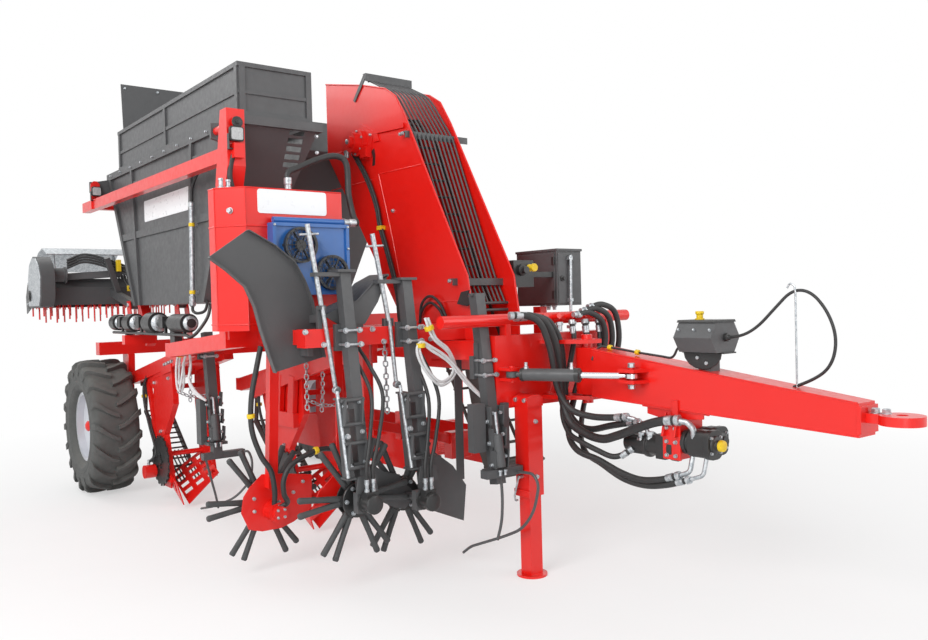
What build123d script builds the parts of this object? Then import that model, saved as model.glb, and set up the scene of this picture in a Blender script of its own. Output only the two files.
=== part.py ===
"""Towed two row sugar beet harvester with a side tipping bunker.

Millimetres, +Z up, +X forward to the towing eye, +Y to the machine's left.
The pieces are drawn in the machine's own lines: X from the wheel axle, Y from the right
hand edge of the digging track, Z from the ground. They are written with the origin on the
ground under the middle of the whole machine's box.
"""

import os
from math import cos, hypot, radians, sin, tan

from build123d import *

# Overall reach of the machine, from which its origin is worked out
REAR_REACH = -1470
FRONT_REACH = 6798
RIGHT_REACH = -352
LEFT_REACH = 2646.5
ORIGIN_X = (REAR_REACH + FRONT_REACH) / 2
ORIGIN_Y = (RIGHT_REACH + LEFT_REACH) / 2

# Wheels
TYRE_RADIUS = 625
TYRE_WIDTH = 420
LUG_HEIGHT = 30
LUGS_A_SIDE = 18
LUG_SKEW = 33
LUG_LENGTH = 225
LUG_THICK = 52
LUG_DEPTH = 75
LUG_OFFSET = 98
BEAD_RADIUS = 305
HUB_RADIUS = 105
STUB_RADIUS = 42
RUNNING_FIT = 0.08
WHEEL_Y = (60, 2440)

# Chassis
BEAM = 120
AXLE_BEAM_Z = 1350
TOOLBAR_X = 3950
TOOLBAR_Z = 1510
TOOLBAR_SIDE = 110

# Bunker, tipping to the right about a pin line above its right wall
TIP_Y = 50
TIP_Z = 2870
TIP_PIN = 26
BUNKER_RIGHT = 200
BUNKER_LEFT = 2100
BUNKER_TOP = 3000
BUNKER_BOTTOM = 1750
SHEET = 6
EXTENSION_TOP = 3360

# Elevator
ELEVATOR_RIGHT = 1375
ELEVATOR_LEFT = 1780
ELEVATOR_ROD = 14
ELEVATOR_RODS = 10

# Hose ports along the front pipe
HOSE_PORTS = (1560, 1680, 1800, 1920, 2040)

# Drawbar and its steering
DRAWBAR_Y = 1750
DRAWBAR_PIVOT_X = 4760
EYE_X = 6700
EYE_Z = 1120
EYE_BORE = 25
STEER_BASE = (4600, 1260, 1255)
STEER_EYE = (5260, 1590, 1255)
STEER_PIN = 16

# Toppers
TOPPER_LEAN = 8
FLAIL_REACH = 380
FLAIL_SHAFT = 22

# Rear topper
TOPPER_PIVOT = (-110, 665, 1760)
TOPPER_SHAFT = (-990, 400, 1880)


def box(x0, x1, y0, y1, z0, z1):
    """Block between two corners."""
    middle = Pos((x0 + x1) / 2, (y0 + y1) / 2, (z0 + z1) / 2)
    return middle * Box(x1 - x0, y1 - y0, z1 - z0)


def rod(start, end, radius):
    """Round bar from one point to another."""
    line = Vector(*end) - Vector(*start)
    plane = Plane(origin=start, z_dir=line)
    return extrude(plane * Circle(radius), amount=line.length)


def beam(start, end, width, height, side=(0, 1, 0)):
    """Square bar between two points, its width along the given side direction."""
    line = Vector(*end) - Vector(*start)
    plane = Plane(origin=start, x_dir=side, z_dir=line)
    return extrude(plane * Rectangle(width, height), amount=line.length)


def tube(start, end, width, height, wall, side=(0, 1, 0)):
    """Hollow square bar between two points, open at both ends."""
    line = Vector(*end) - Vector(*start)
    plane = Plane(origin=start, x_dir=side, z_dir=line)
    section = Rectangle(width, height) - Rectangle(width - 2 * wall, height - 2 * wall)
    return extrude(plane * section, amount=line.length)


def side_plate(outline, y0, y1):
    """Plate cut to an X, Z outline, from y0 to y1."""
    plane = Plane(origin=(0, y1, 0), x_dir=(1, 0, 0), z_dir=(0, -1, 0))
    return extrude(plane * make_face(Polyline(*outline, close=True)), amount=y1 - y0)


def cross_plate(outline, x0, x1):
    """Plate cut to a Y, Z outline, from x0 to x1."""
    plane = Plane(origin=(x0, 0, 0), x_dir=(0, 1, 0), z_dir=(1, 0, 0))
    return extrude(plane * make_face(Polyline(*outline, close=True)), amount=x1 - x0)


def flat_plate(outline, z0, z1):
    """Plate cut to an X, Y outline, from z0 to z1."""
    plane = Plane(origin=(0, 0, z0))
    return extrude(plane * make_face(Polyline(*outline, close=True)), amount=z1 - z0)


def sheet(corners, thickness):
    """Flat sheet of one thickness on the side to which its corners turn right handed."""
    face = make_face(Polyline(*corners, close=True))
    return extrude(face, amount=thickness)


def joined(pieces):
    """One shape of all the pieces, fused where they touch."""
    first, *rest = pieces
    return first.fuse(*rest) if rest else first


def save(name, shape):
    """Writes a piece in the finished frame."""
    export_step(Pos(-ORIGIN_X, -ORIGIN_Y, 0) * shape, f"parts/{name}.step")


def cord_tube(points, radius, name):
    """Hose or cable along hand-set points, each corner as large an arc as its runs allow."""
    corners = [Vector(*p) for p in points]
    radii = []
    for before, here, after in zip(corners, corners[1:], corners[2:]):
        first, second = here - before, after - here
        half_turn = radians(first.get_angle(second)) / 2
        radii.append(0.45 * min(first.length, second.length) / tan(half_turn))
    path = FilletPolyline(*points, radius=radii)
    start = Plane(origin=points[0], z_dir=corners[1] - corners[0])
    print(name, "least radius", round(min(radii)), "length", round(path.length))
    return sweep(start * Circle(radius), path=path)


# Wheels


def tyre(y):
    """Lugged tyre about the hub line at y."""
    half = TYRE_WIDTH / 2
    tread = TYRE_RADIUS - LUG_HEIGHT
    profile = Plane.YZ * make_face(
        Polyline(
            (-half + 72, BEAD_RADIUS),
            (-half + 72, BEAD_RADIUS + 26),
            (-half + 22, BEAD_RADIUS + 55),
            (-half + 6, BEAD_RADIUS + 140),
            (-half + 12, tread - 60),
            (-half + 50, tread - 8),
            (-half + 90, tread),
            (half - 90, tread),
            (half - 50, tread - 8),
            (half - 12, tread - 60),
            (half - 6, BEAD_RADIUS + 140),
            (half - 22, BEAD_RADIUS + 55),
            (half - 72, BEAD_RADIUS + 26),
            (half - 72, BEAD_RADIUS),
            close=True,
        )
    )
    carcass = revolve(profile, axis=Axis.Y)
    skew = radians(LUG_SKEW)
    reach = (LUG_LENGTH * sin(skew) + LUG_THICK * cos(skew)) / 2
    lug_middle = sqrt_below(TYRE_RADIUS, reach) - LUG_DEPTH / 2
    lugs = []
    for side in (1, -1):
        for step in range(LUGS_A_SIDE):
            turn = (step + (0 if side > 0 else 0.5)) * 360 / LUGS_A_SIDE
            bar = Rot(0, 0, side * LUG_SKEW) * Box(LUG_THICK, LUG_LENGTH, LUG_DEPTH)
            lugs.append(Rot(0, turn, 0) * Pos(0, side * LUG_OFFSET, lug_middle) * bar)
    return Pos(0, y, TYRE_RADIUS) * joined([carcass, *lugs])


def sqrt_below(radius, offset):
    """Height at which a flat top of the given half length stays inside the radius."""
    return (radius * radius - offset * offset) ** 0.5


def rim(y, outer):
    """Drop centre rim with its dished disc; outer is +1 or -1, the side it faces."""
    seat = TYRE_WIDTH / 2 - 72
    disc = outer * 40
    well = [
        (-seat, BEAD_RADIUS),
        (-seat + 48, BEAD_RADIUS),
        (-seat + 78, BEAD_RADIUS - 45),
        (seat - 78, BEAD_RADIUS - 45),
        (seat - 48, BEAD_RADIUS),
        (seat, BEAD_RADIUS),
        (seat, BEAD_RADIUS + 24),
        (seat + 10, BEAD_RADIUS + 20),
        (seat + 10, BEAD_RADIUS - 10),
        (seat - 54, BEAD_RADIUS - 10),
        (seat - 84, BEAD_RADIUS - 57),
        (-seat + 84, BEAD_RADIUS - 57),
        (-seat + 54, BEAD_RADIUS - 10),
        (-seat - 10, BEAD_RADIUS - 10),
        (-seat - 10, BEAD_RADIUS + 20),
        (-seat, BEAD_RADIUS + 24),
    ]
    # Disc from the rim's well to the hub: dish towards the outside, radius
    bend = [(0, BEAD_RADIUS - 50), (18, BEAD_RADIUS - 110), (-12, HUB_RADIUS + 40),
            (-12, HUB_RADIUS)]
    dish = [(disc + outer * out + 6, r) for out, r in bend]
    dish += [(disc + outer * out - 6, r) for out, r in reversed(bend)]
    ring = revolve(Plane.YZ * make_face(Polyline(*well, close=True)), axis=Axis.Y)
    plate = revolve(Plane.YZ * make_face(Polyline(*dish, close=True)), axis=Axis.Y)
    return Pos(0, y, TYRE_RADIUS) * joined([outward(ring), outward(plate)])


def outward(shape):
    """The shape with its faces turned outward, after a revolve that ran the other way."""
    return shape if shape.volume > 0 else Solid(shape.wrapped.Reversed())


def hub(y, outer):
    """Wheel hub with its flange and cap, bored for the stub axle."""
    flange = Pos(0, outer * 28, 0) * Rot(90, 0, 0) * Cylinder(HUB_RADIUS, 12)
    barrel = Pos(0, outer * 10, 0) * Rot(90, 0, 0) * Cylinder(75, 140)
    cap = Pos(0, outer * 95, 0) * Rot(90, 0, 0) * Cylinder(45, 30)
    bore = Pos(0, -outer * 20, 0) * Rot(90, 0, 0) * Cylinder(STUB_RADIUS + RUNNING_FIT, 130)
    return Pos(0, y, TYRE_RADIUS) * (joined([barrel, flange, cap]) - bore)


# Chassis


def axle_leg(y, inner):
    """Leg that drops from the axle beam to one stub axle; inner is the side it stands on."""
    leg_y = y + inner * 275
    leg = beam((0, leg_y, 560), (0, leg_y, AXLE_BEAM_Z - BEAM / 2), 40, 160)
    gusset = side_plate(
        [(-95, AXLE_BEAM_Z - 60), (95, AXLE_BEAM_Z - 60), (80, 1020), (-80, 1020)],
        leg_y - 30,
        leg_y + 30,
    )
    boss = Pos(0, leg_y, TYRE_RADIUS) * Rot(90, 0, 0) * Cylinder(85, 60)
    stub_length = 275 + 35
    stub_y = y + inner * (275 - stub_length / 2)
    stub = Pos(0, stub_y, TYRE_RADIUS) * Rot(90, 0, 0) * Cylinder(STUB_RADIUS, stub_length)
    return joined([leg, gusset, boss, stub])


def chassis_frame():
    """Axle beam, the long beams that tie it to the front and their cross members."""
    half = BEAM / 2
    pieces = [box(-half, half, 50, 2450, AXLE_BEAM_Z - half, AXLE_BEAM_Z + half)]
    # Long beams: y
    for y in (1240, 2180):
        pieces.append(beam((0, y, AXLE_BEAM_Z), (4430, y, 1395), 100, BEAM))
    # Cross members: x, right end, left end, z of the underside
    for x, right, left, z in ((1950, 60, 2180, 1340), (3250, -20, 2230, 1448)):
        pieces.append(box(x - 50, x + 50, right, left, z, z + 105))
    pieces.append(beam((1950, 110, 1392), (3250, 110, 1500), 100, 105))
    # Mounts of the rear topper: y
    for y in (430, 900):
        for offset in (-54, 44):
            pieces.append(
                side_plate(
                    [(-60, 1290), (60, 1410), (-60, 1800), (-150, 1800), (-150, 1730)],
                    y + offset,
                    y + offset + 10,
                )
            )
        pieces.append(rod((-110, y - 60, 1760), (-110, y + 60, 1760), 20))
    return joined(pieces)


def bunker_stand():
    """Columns, side beam and pins that carry the bunker's tipping line."""
    pieces = [
        beam((808, 300, 1400), (111, 300, 2700), 80, 70),
        box(70, 150, 0, 340, 2660, 2740),
        beam((-230, 50, 2705), (3450, 50, 2690), 70, 90),
        side_plate(
            [(3190, 1500), (3340, 1500), (3340, 2440), (3400, 2600), (3400, 2960),
             (3300, 2960), (3190, 2500)],
            -10,
            110,
        ),
        cross_plate([(5, 2700), (95, 2700), (90, 2900), (65, 2925), (35, 2925), (10, 2900)],
                    100, 116),
        rod((56, TIP_Y, TIP_Z), (124, TIP_Y, TIP_Z), TIP_PIN),
        rod((3050, TIP_Y, TIP_Z), (3420, TIP_Y, TIP_Z), TIP_PIN),
        beam((808, 60, 1450), (808, 340, 1450), 80, 80, side=(1, 0, 0)),
    ]
    # Rest frame under the bunker: two rails on cross bearers
    for y in (1000, 1500):
        pieces.append(box(780, 2200, y - 40, y + 40, 1620, BUNKER_BOTTOM - 8))
    for x in (860, 1950):
        pieces.append(box(x - 50, x + 50, 900, 2230, 1520, 1620))
        for y in (1240, 2180):
            pieces.append(box(x - 50, x + 50, y - 50, y + 50, 1400, 1520))
    return joined(pieces)


def toolbar():
    """Front tool beam with its shield, and the arms that tie it to the cross member."""
    half = TOOLBAR_SIDE / 2
    pieces = [
        box(TOOLBAR_X - half, TOOLBAR_X + half, 180, ELEVATOR_RIGHT - 4,
            TOOLBAR_Z - half, TOOLBAR_Z + half)
    ]
    # Arms below the tank: y
    for y in (230, 600):
        pieces.append(box(3300, TOOLBAR_X - half, y - 30, y + 30, 1470, 1560))
    # Shield behind the right rotor, on its strap below the beam
    outline = [(387, 714), (462, 601), (189, 432), (182, 478), (245, 597)]
    pieces.append(cross_plate(outline, 3990, 3998))
    pieces.append(box(3982, 3990, 378, 432, 620, 1455))
    return joined(pieces)


def front_frame():
    """Deep front box that carries the drawbar pivot, the steering and the stand."""
    pieces = [
        box(4430, 4530, 1190, 2260, 1040, 1490),
        box(4530, 4665, 1320, 1450, 1052, 1104),
    ]
    # Pivot plates of the drawbar: z of the lower face
    for z in (1075, 1425):
        pieces.append(
            flat_plate(
                [(4530, 1560), (4700, 1620), (4830, 1690), (4830, 1810), (4700, 1880),
                 (4530, 1940)],
                z,
                z + 25,
            )
        )
    pieces.append(rod((DRAWBAR_PIVOT_X, DRAWBAR_Y, 1050), (DRAWBAR_PIVOT_X, DRAWBAR_Y, 1480), 34))
    x, y, z = STEER_BASE
    for lug_z in (z - 40, z + 22):
        pieces.append(box(4530, x + 35, y - 45, y + 45, lug_z, lug_z + 18))
    pieces.append(rod((x, y, z - 50), (x, y, z + 50), STEER_PIN))
    return joined(pieces)


def hose_rail():
    """Round pipe across the front with its hose ports."""
    pieces = [rod((4500, 800, 1585), (4500, 2410, 1585), 38)]
    for y in (1300, 2200):
        pieces.append(box(4470, 4530, y - 20, y + 20, 1490, 1560))
    for y in HOSE_PORTS:
        pieces.append(rod((4520, y, 1590), (4590, y, 1600), 20))
    return joined(pieces)


# Toppers


def lean(x, z, height):
    """X at a height on a topper leg that passes through x at z, foot forward."""
    return x + (z - height) * tan(radians(TOPPER_LEAN))


# Topper legs: name, x at the toolbar's height, y, top z, foot z
LEGS = (
    ("topper_leg_1", 4062, 440, 1910, 500),
    ("topper_leg_2", 4062, 880, 1860, 450),
)
FINDER_LEG = (4480, 1145, 1750, 600)
REAR_LEG = (2080, 330, 1520, 560)

# Row feeler rods, from the foot bars towards the ground
FEELER_RADIUS = 9
FEELER_A = ((4600, 1150, 660), (4612, 1150, 516), (4600, 1150, 371), (4555, 1150, 253))
FEELER_B = ((4610, 1270, 660), (4760, 1272, 668), (4804, 1272, 604), (4756, 1272, 436),
            (4643, 1272, 311), (4470, 1270, 231), (4135, 1268, 99), (4055, 1268, 42))
FEELER_C = ((2190, 240, 570), (2130, 300, 400), (2020, 380, 220), (1930, 430, 110))
FEELER_D = ((2200, 520, 580), (2380, 510, 610), (2464, 500, 540), (2450, 490, 400),
            (2203, 470, 232), (1800, 455, 92), (1500, 450, 22))


def topper_leg(x, y, top, foot, rotor_y, rotor_x, rotor_z):
    """Square leg with its clamp, link plates, cap and the foot that carries a flail rotor."""
    start = (lean(x, TOOLBAR_Z, top), y, top)
    foot_x = lean(x, TOOLBAR_Z, foot)
    clamp = box(TOOLBAR_X + 55, TOOLBAR_X + 85, y - 75, y + 75, TOOLBAR_Z - 80, TOOLBAR_Z + 80)
    pieces = [
        beam(start, (foot_x, y, foot), 70, 70),
        clamp,
        box(start[0] - 60, start[0] + 60, y - 60, y + 60, top - 8, top + 8),
        rod((rotor_x + 46, rotor_y, rotor_z), (foot_x + 10, rotor_y, rotor_z), FLAIL_SHAFT),
        box(foot_x - 40, foot_x + 10, min(y, rotor_y) - 60, max(y, rotor_y) + 60,
            rotor_z - 60, rotor_z + 60),
    ]
    # Slide beside the leg, on its upper and lower links
    slide_y = y - 95
    low, high = lean(x, TOOLBAR_Z, 690), lean(x, TOOLBAR_Z, 1150)
    pieces.append(beam((high, slide_y, 1150), (low, slide_y, 690), 46, 60))
    for height in (1110, 760):
        link_x = lean(x, TOOLBAR_Z, height)
        pieces.append(box(link_x - 36, link_x + 36, y - 72, y - 35, height - 20, height + 20))
    return joined(pieces)


def finder_leg():
    """Leg beside the front frame with its parallel links, foot bar and row feeler rods."""
    x, y, top, foot = FINDER_LEG
    start = (lean(x, 1300, top), y, top)
    end = (lean(x, 1300, foot), y, foot)
    pieces = [
        beam(start, end, 70, 70),
        box(4430, 4470, 1100, 1190, 1250, 1450),
        box(4405, 4435, y - 55, y + 55, 1740, 1756),
        box(4500, 4560, 985, 1075, 800, 1090),
        box(4500, 4560, 1215, 1262, 790, 1080),
        box(4555, 4620, 1030, 1312, 645, 695),
    ]
    for z in (815, 1045):
        pieces.append(box(4515, 4545, 985, 1262, z, z + 24))
    for name, route in (("feeler_a", FEELER_A), ("feeler_b", FEELER_B)):
        pieces.append(cord_tube(route, FEELER_RADIUS, name))
    return joined(pieces)


def rear_leg():
    """Leg in front of the rear digger with its clamp, parallel link, foot bar and feelers."""
    x, y, top, foot = REAR_LEG
    start = (lean(x, 1380, top), y, top)
    end = (lean(x, 1380, foot), y, foot)
    pieces = [
        beam(start, end, 70, 70),
        box(2000, x, y - 50, y + 50, 1345, 1440),
        box(x - 30, x + 60, y - 100, y - 52, 660, 1010),
        box(2165, 2225, 215, 546, 552, 602),
    ]
    for z in (690, 960):
        pieces.append(box(x + 10, x + 50, y - 100, y, z, z + 24))
    for name, route in (("feeler_c", FEELER_C), ("feeler_d", FEELER_D)):
        pieces.append(cord_tube(route, FEELER_RADIUS, name))
    return joined(pieces)


def flail_rotor(x, y, z):
    """Rubber finger rotor on a hub that turns about a line along the machine."""
    pieces = [rod((x - 45, y, z), (x + 45, y, z), 105)]
    for station in range(6):
        for offset in (-7, 7):
            turn = radians(station * 60 + 30 + offset)
            tip = (x, y + FLAIL_REACH * sin(turn), z - FLAIL_REACH * cos(turn))
            foot = (x, y + 90 * sin(turn), z - 90 * cos(turn))
            pieces.append(rod(foot, tip, 17))
    return joined(pieces)


# Flail rotors: name, x, y, z of the hub
ROTORS = (
    ("flail_rotor_1", 4080, 440, 540),
    ("flail_rotor_2", 3960, 850, 490),
    ("flail_rotor_3", 3400, 160, 450),
)


def side_flail_carrier():
    """Post, rounded guard and motor of the flail rotor at the right hand edge."""
    x, y, z = ROTORS[2][1:]
    guard = [(-25, 420), (-8, 520), (30, 571), (118, 646), (280, 628), (467, 596), (459, 377),
             (328, 308), (238, 283), (110, 284), (22, 311)]
    return joined(
        [
            beam((3510, 205, 1475), (3510, 165, 560), 60, 60),
            cross_plate(guard, x + 72, x + 80),
            rod((x + 46, y, z), (x + 84, y, z), FLAIL_SHAFT),
            rod((x + 80, y + 20, z - 40), (x + 180, y + 20, z - 40), 62),
            rod((x + 180, y + 20, z - 40), (x + 215, y + 20, z - 40), 44),
        ]
    )


def rotor_guards():
    """Dark shroud and deflector plates beside the left rotor."""
    shroud = [(536, 742), (617, 707), (690, 657), (803, 625), (811, 583), (887, 523), (895, 448),
              (834, 401), (758, 422), (674, 468), (628, 484), (563, 455), (527, 453)]
    deflector = [(1003, 762), (1164, 642), (1269, 500), (1242, 268), (870, 430), (989, 620)]
    return joined(
        [
            cross_plate(shroud, 4015, 4023),
            cross_plate(deflector, 4094, 4102),
            box(4090, 4098, 1200, 1260, 540, 1336),
            box(4102, 4190, 915, 1010, 690, 740),
        ]
    )


# Digger units


def digger_frame(x, y, beam_end):
    """Arch, wide share arms and drive arm of one digger; x, y is the tip of its right share."""
    rise = 0.19
    end_z = 1060 + rise * (beam_end - x + 1100)
    pieces = [
        beam((x - 1100, y - 30, 1060), (beam_end, y - 30, end_z), 80, 110),
        beam((x - 1100, y + 330, 1060), (x + 300, y + 330, 1326), 80, 110),
        box(x - 1180, x - 1090, y - 70, y + 370, 1010, 1110),
        box(x + 180, x + 250, y + 10, y + 290, 1255, 1325),
        box(x - 480, x - 400, y - 20, y + 320, 1110, 1190),
    ]
    # Wide share arms: near face
    arm = [(x - 470, 1140), (x + 10, 1225), (x + 36, 905), (x - 225, 615), (x - 104, 217),
           (x - 384, 201), (x - 427, 593), (x - 483, 862)]
    for near in (y - 60, y + 312):
        pieces.append(side_plate(arm, near, near + 48))
    # Gusset under the arch beam behind the arm
    pieces.append(side_plate([(x - 760, 1110), (x - 470, 1160), (x - 470, 980)], y - 50, y - 10))
    # Drive arm of the cleaning disc with its motor
    pieces.append(beam((x - 690, y - 36, 1080), (x - 400, y - 36, 300), 30, 70))
    for radius, near, far in ((34, y - 96, y - 50), (58, y - 190, y - 96)):
        pieces.append(rod((x - 395, near, 285), (x - 395, far, 285), radius))
    return joined(pieces)


def digger_shares(x, y):
    """Pair of slotted shares that meet in a V below the beet and open towards the rear."""
    pieces = []
    # Share: tip, far side of the front edge, how far it runs back and up, slots across it
    for tip, side, slots in (((x - 10, y + 60, 32), (x - 10, y + 320, 262), 3),
                             ((x, y + 8, 30), (x - 20, y - 36, 200), 1)):
        corner = Vector(*tip)
        across = Vector(*side) - corner
        plane = Plane(origin=tip, x_dir=(-450, 0, 200), z_dir=Vector(-450, 0, 200).cross(across))
        length, width = hypot(450, 200), across.length
        outline = Polyline((0, 0), (90, width), (length, width), (length, 0), close=True)
        blade = extrude(plane * make_face(outline), amount=10)
        for slot in range(slots):
            for step in range(4):
                at_x, at_y = 150 + step * 95, width * (slot + 0.5) / slots
                cut = plane * (Pos(at_x, at_y, 5) * Box(52, 0.62 * width / slots, 40))
                blade = blade - cut
        pieces.append(blade)
    # Shank of each share on its arm: x behind the tip, near face, foot height
    for back, near, foot in ((380, y - 30, 150), (330, y + 316, 250)):
        pieces.append(box(x - back, x - back + 190, near, near + 16, foot, foot + 160))
    pieces.append(rod((x - 320, y - 12, 430), (x - 320, y + 312, 430), 22))
    return joined(pieces)


def cleaning_disc(x, y):
    """Disc beside the right share with its stub axle."""
    return joined([
        rod((x - 290, y - 82, 385), (x - 290, y - 70, 385), 205),
        rod((x - 290, y - 92, 385), (x - 290, y - 60, 385), 40),
    ])


def lifting_web(x, y):
    """Bar web that lifts the beet behind the shares."""
    pieces = []
    for side_y in (y + 40, y + 260):
        pieces.append(beam((x - 520, side_y, 330), (x - 1060, side_y, 760), 16, 60))
    for step in range(11):
        share = step / 10
        bar_x = x - 540 - 500 * share
        bar_z = 346 + 398 * share
        pieces.append(rod((bar_x, y + 40, bar_z), (bar_x, y + 260, bar_z), 8))
    pieces.append(rod((x - 1000, y - 10, 1010), (x - 1000, y + 310, 1010), 20))
    for side_y in (y + 40, y + 260):
        pieces.append(beam((x - 1000, side_y, 1010), (x - 1040, side_y, 740), 16, 50))
    return joined(pieces)


# Elevator

ELEVATOR_EDGE = (
    (4087, 1250),
    (4087, 1640),
    (4045, 1881),
    (3361, 3065),
    (3235, 3247),
    (3098, 3327),
    (2776, 3420),
    (2190, 3557),
    (2190, 2950),
    (3390, 1400),
    (3500, 1250),
)


# Head shaft of the elevator: x, z
ELEVATOR_HEAD = (2744, 2972)

# Bar web seen from the side: x, z
WEB_LOOP = [(4335, 640), (3200, 2950), (2960, 3160), (2740, 3160), (2600, 3020), (4120, 640),
            (4165, 545), (4290, 545)]
WEB_BARS = 44


def elevator_housing():
    """Two side panels of the elevator, its bottom sheet, its feet and its head drive."""
    right, left = ELEVATOR_RIGHT, ELEVATOR_LEFT
    pieces = [
        side_plate(ELEVATOR_EDGE, right - 4, right + 4),
        side_plate(ELEVATOR_EDGE, left - 4, left + 4),
        box(3620, 3720, 1288, right, 1300, 1420),
        box(3620, 3720, left, 2132, 1300, 1420),
        sheet([(2196, right, 2960), (2196, left, 2960), (3396, left, 1410), (3396, right, 1410)], 4),
    ]
    # Stay from the upper cross bar to the panel, with its weld plate
    pieces.append(beam((2935, 1362, 3030), (3345, 1362, 3007), 10, 36))
    pieces.append(side_plate([(2925, 2950), (3010, 2950), (2960, 3050), (2925, 3050)], 1361, 1371))
    # Head drive: the gearbox on its plate, the motor and its port block
    x, z = ELEVATOR_HEAD
    pieces.append(side_plate([(x - 200, z - 90), (x + 120, z - 150), (x + 190, z + 60), (x, z + 150),
                              (x - 170, z + 110)], 1359, 1371))
    # Drum: radius, near face, far face
    for radius, near, far in ((104, 1318, 1359), (78, 1262, 1318), (46, 1236, 1262)):
        pieces.append(rod((x, near, z), (x, far, z), radius))
    pieces.append(box(x - 178, x - 84, 1290, 1340, z - 44, z + 36))
    pieces.append(box(x + 60, x + 150, 1310, 1359, z - 130, z - 50))
    return joined(pieces)


def elevator_grille():
    """Rods that run up the open face and bend over the head, with their cross bars and comb."""
    right, left = ELEVATOR_RIGHT, ELEVATOR_LEFT
    pitch = (left - right - 60) / (ELEVATOR_RODS - 1)
    pieces = []
    for step in range(ELEVATOR_RODS):
        y = right + 30 + step * pitch
        points = [(3975, y, 1700), (3880, y, 1870), (3415, y, 2940), (3130, y, 3300), (2815, y, 3452)]
        path = FilletPolyline(*points, radius=[300, 600, 420])
        start = Plane(origin=points[0], z_dir=Vector(*points[1]) - Vector(*points[0]))
        pieces.append(sweep(start * Circle(ELEVATOR_ROD / 2), path=path))
    # Cross bars under the rods: x, z
    for x, z in ((3364, 2975), (3888, 1887)):
        pieces.append(box(x - 8, x + 46, right - 42, left + 120, z - 30, z - 22))
        pieces.append(box(x + 38, x + 46, right - 42, left + 120, z - 70, z - 22))
    # Lower end bars, on which the rods rest: z
    for z in (1693, 1645, 1600):
        pieces.append(rod((3975, right, z), (3975, left, z), 10))
    # Comb over the head: a bar with a tooth between each pair of rods, on two arms
    pieces.append(box(2800, 2840, right - 14, left + 14, 3492, 3500))
    pieces.append(box(2832, 2840, right - 14, left + 14, 3440, 3500))
    for step in range(ELEVATOR_RODS):
        y = right + 30 + step * pitch
        pieces.append(box(2806, 2818, y - 5, y + 5, 3440, 3492))
    for y in (right - 14, left + 6):
        pieces.append(side_plate([(2640, 3325), (2665, 3310), (2840, 3470), (2840, 3500), (2812, 3500)],
                                 y, y + 8))
        pieces.append(rod((2660, y, 3330), (2660, y + 10, 3330), 9))
    return joined(pieces)


def elevator_web():
    """Bar web of the elevator as one fixed loop of side belts and cross bars on two shafts."""
    loop = WEB_LOOP
    right, left = ELEVATOR_RIGHT, ELEVATOR_LEFT
    lengths = [hypot(b[0] - a[0], b[1] - a[1]) for a, b in zip(loop, loop[1:] + loop[:1])]
    pieces = []
    for side_y in (right + 30, left - 30):
        outer = make_face(Polyline(*loop, close=True))
        band = outer - offset(outer, amount=-22)
        plane = Plane(origin=(0, side_y + 6, 0), x_dir=(1, 0, 0), z_dir=(0, -1, 0))
        pieces.append(extrude(plane * band, amount=12))
    total = sum(lengths)
    for step in range(WEB_BARS):
        along = step * total / WEB_BARS
        for a, b, length in zip(loop, loop[1:] + loop[:1], lengths):
            if along <= length:
                break
            along -= length
        x = a[0] + (b[0] - a[0]) * along / length
        z = a[1] + (b[1] - a[1]) * along / length
        pieces.append(rod((x, right + 24, z), (x, left - 24, z), 9))
    # Shafts with their sprockets: x, z, sprocket radius
    for x, z, radius in ((*ELEVATOR_HEAD, 0), (2860, 3010, 120), (4230, 640, 76)):
        pieces.append(rod((x, right + 4, z), (x, left - 4, z), 24))
        for y in (right + 24, left - 36):
            if radius:
                pieces.append(rod((x, y, z), (x, y + 12, z), radius))
    # Lower side plates: near face
    for y in (right + 4, left - 12):
        pieces.append(side_plate([(3960, 1320), (4080, 1320), (4300, 690), (4290, 590), (4200, 560),
                                  (4140, 640)], y, y + 8))
    return joined(pieces)


# Bunker


def bunker_outline(rear, front, left, nose, notch, inset=0):
    """Outline of the bunker at one height: full width behind the notch, a nose beside it."""
    right = BUNKER_RIGHT + inset
    return [(rear + inset, right), (front - inset, right), (front - inset, nose - inset),
            (notch - inset, nose - inset), (notch - inset, left - inset),
            (rear + inset, left - inset)]


def hopper_ribs(wide, narrow):
    """Rim, corner posts and ribs folded on the outside of the bunker's walls."""
    right = BUNKER_RIGHT
    rear, front, left, nose, notch = wide
    low_rear, low_front = narrow[:2]
    pieces = [
        box(rear - 20, front, right - 22, right, BUNKER_TOP - 60, BUNKER_TOP),
        box(rear - 20, front, right - 14, right, BUNKER_TOP - 190, BUNKER_TOP - 160),
        box(rear - 20, rear + 34, right - 22, left, BUNKER_TOP - 60, BUNKER_TOP),
        box(notch - 14, notch + 20, nose, left, BUNKER_TOP - 60, BUNKER_TOP),
        box(rear - 20, notch + 20, left - 20, left + 12, BUNKER_TOP - 60, BUNKER_TOP),
        box(front - 36, front + 6, right - 22, nose, BUNKER_TOP - 60, BUNKER_TOP),
        box(notch - 14, front + 6, nose - 24, nose + 10, BUNKER_TOP - 60, BUNKER_TOP),
    ]
    # Upright ribs of the right hand wall: rear edge at the top, at the foot, width
    for top, foot, width in ((rear, low_rear, 60), (745, 860, 46), (2230, 2080, 46),
                             (front - 60, low_front - 60, 60)):
        outline = [(top, BUNKER_TOP), (top + width, BUNKER_TOP), (foot + width, BUNKER_BOTTOM),
                   (foot, BUNKER_BOTTOM)]
        pieces.append(side_plate(outline, right - 22, right))
    # Level rib across them
    reach = (2380 - BUNKER_BOTTOM) / (BUNKER_TOP - BUNKER_BOTTOM)
    ends = [low + (high - low) * reach for low, high in ((low_rear, rear), (low_front, front))]
    pieces.append(box(ends[0], ends[1], right - 16, right, 2340, 2400))
    return pieces


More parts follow.
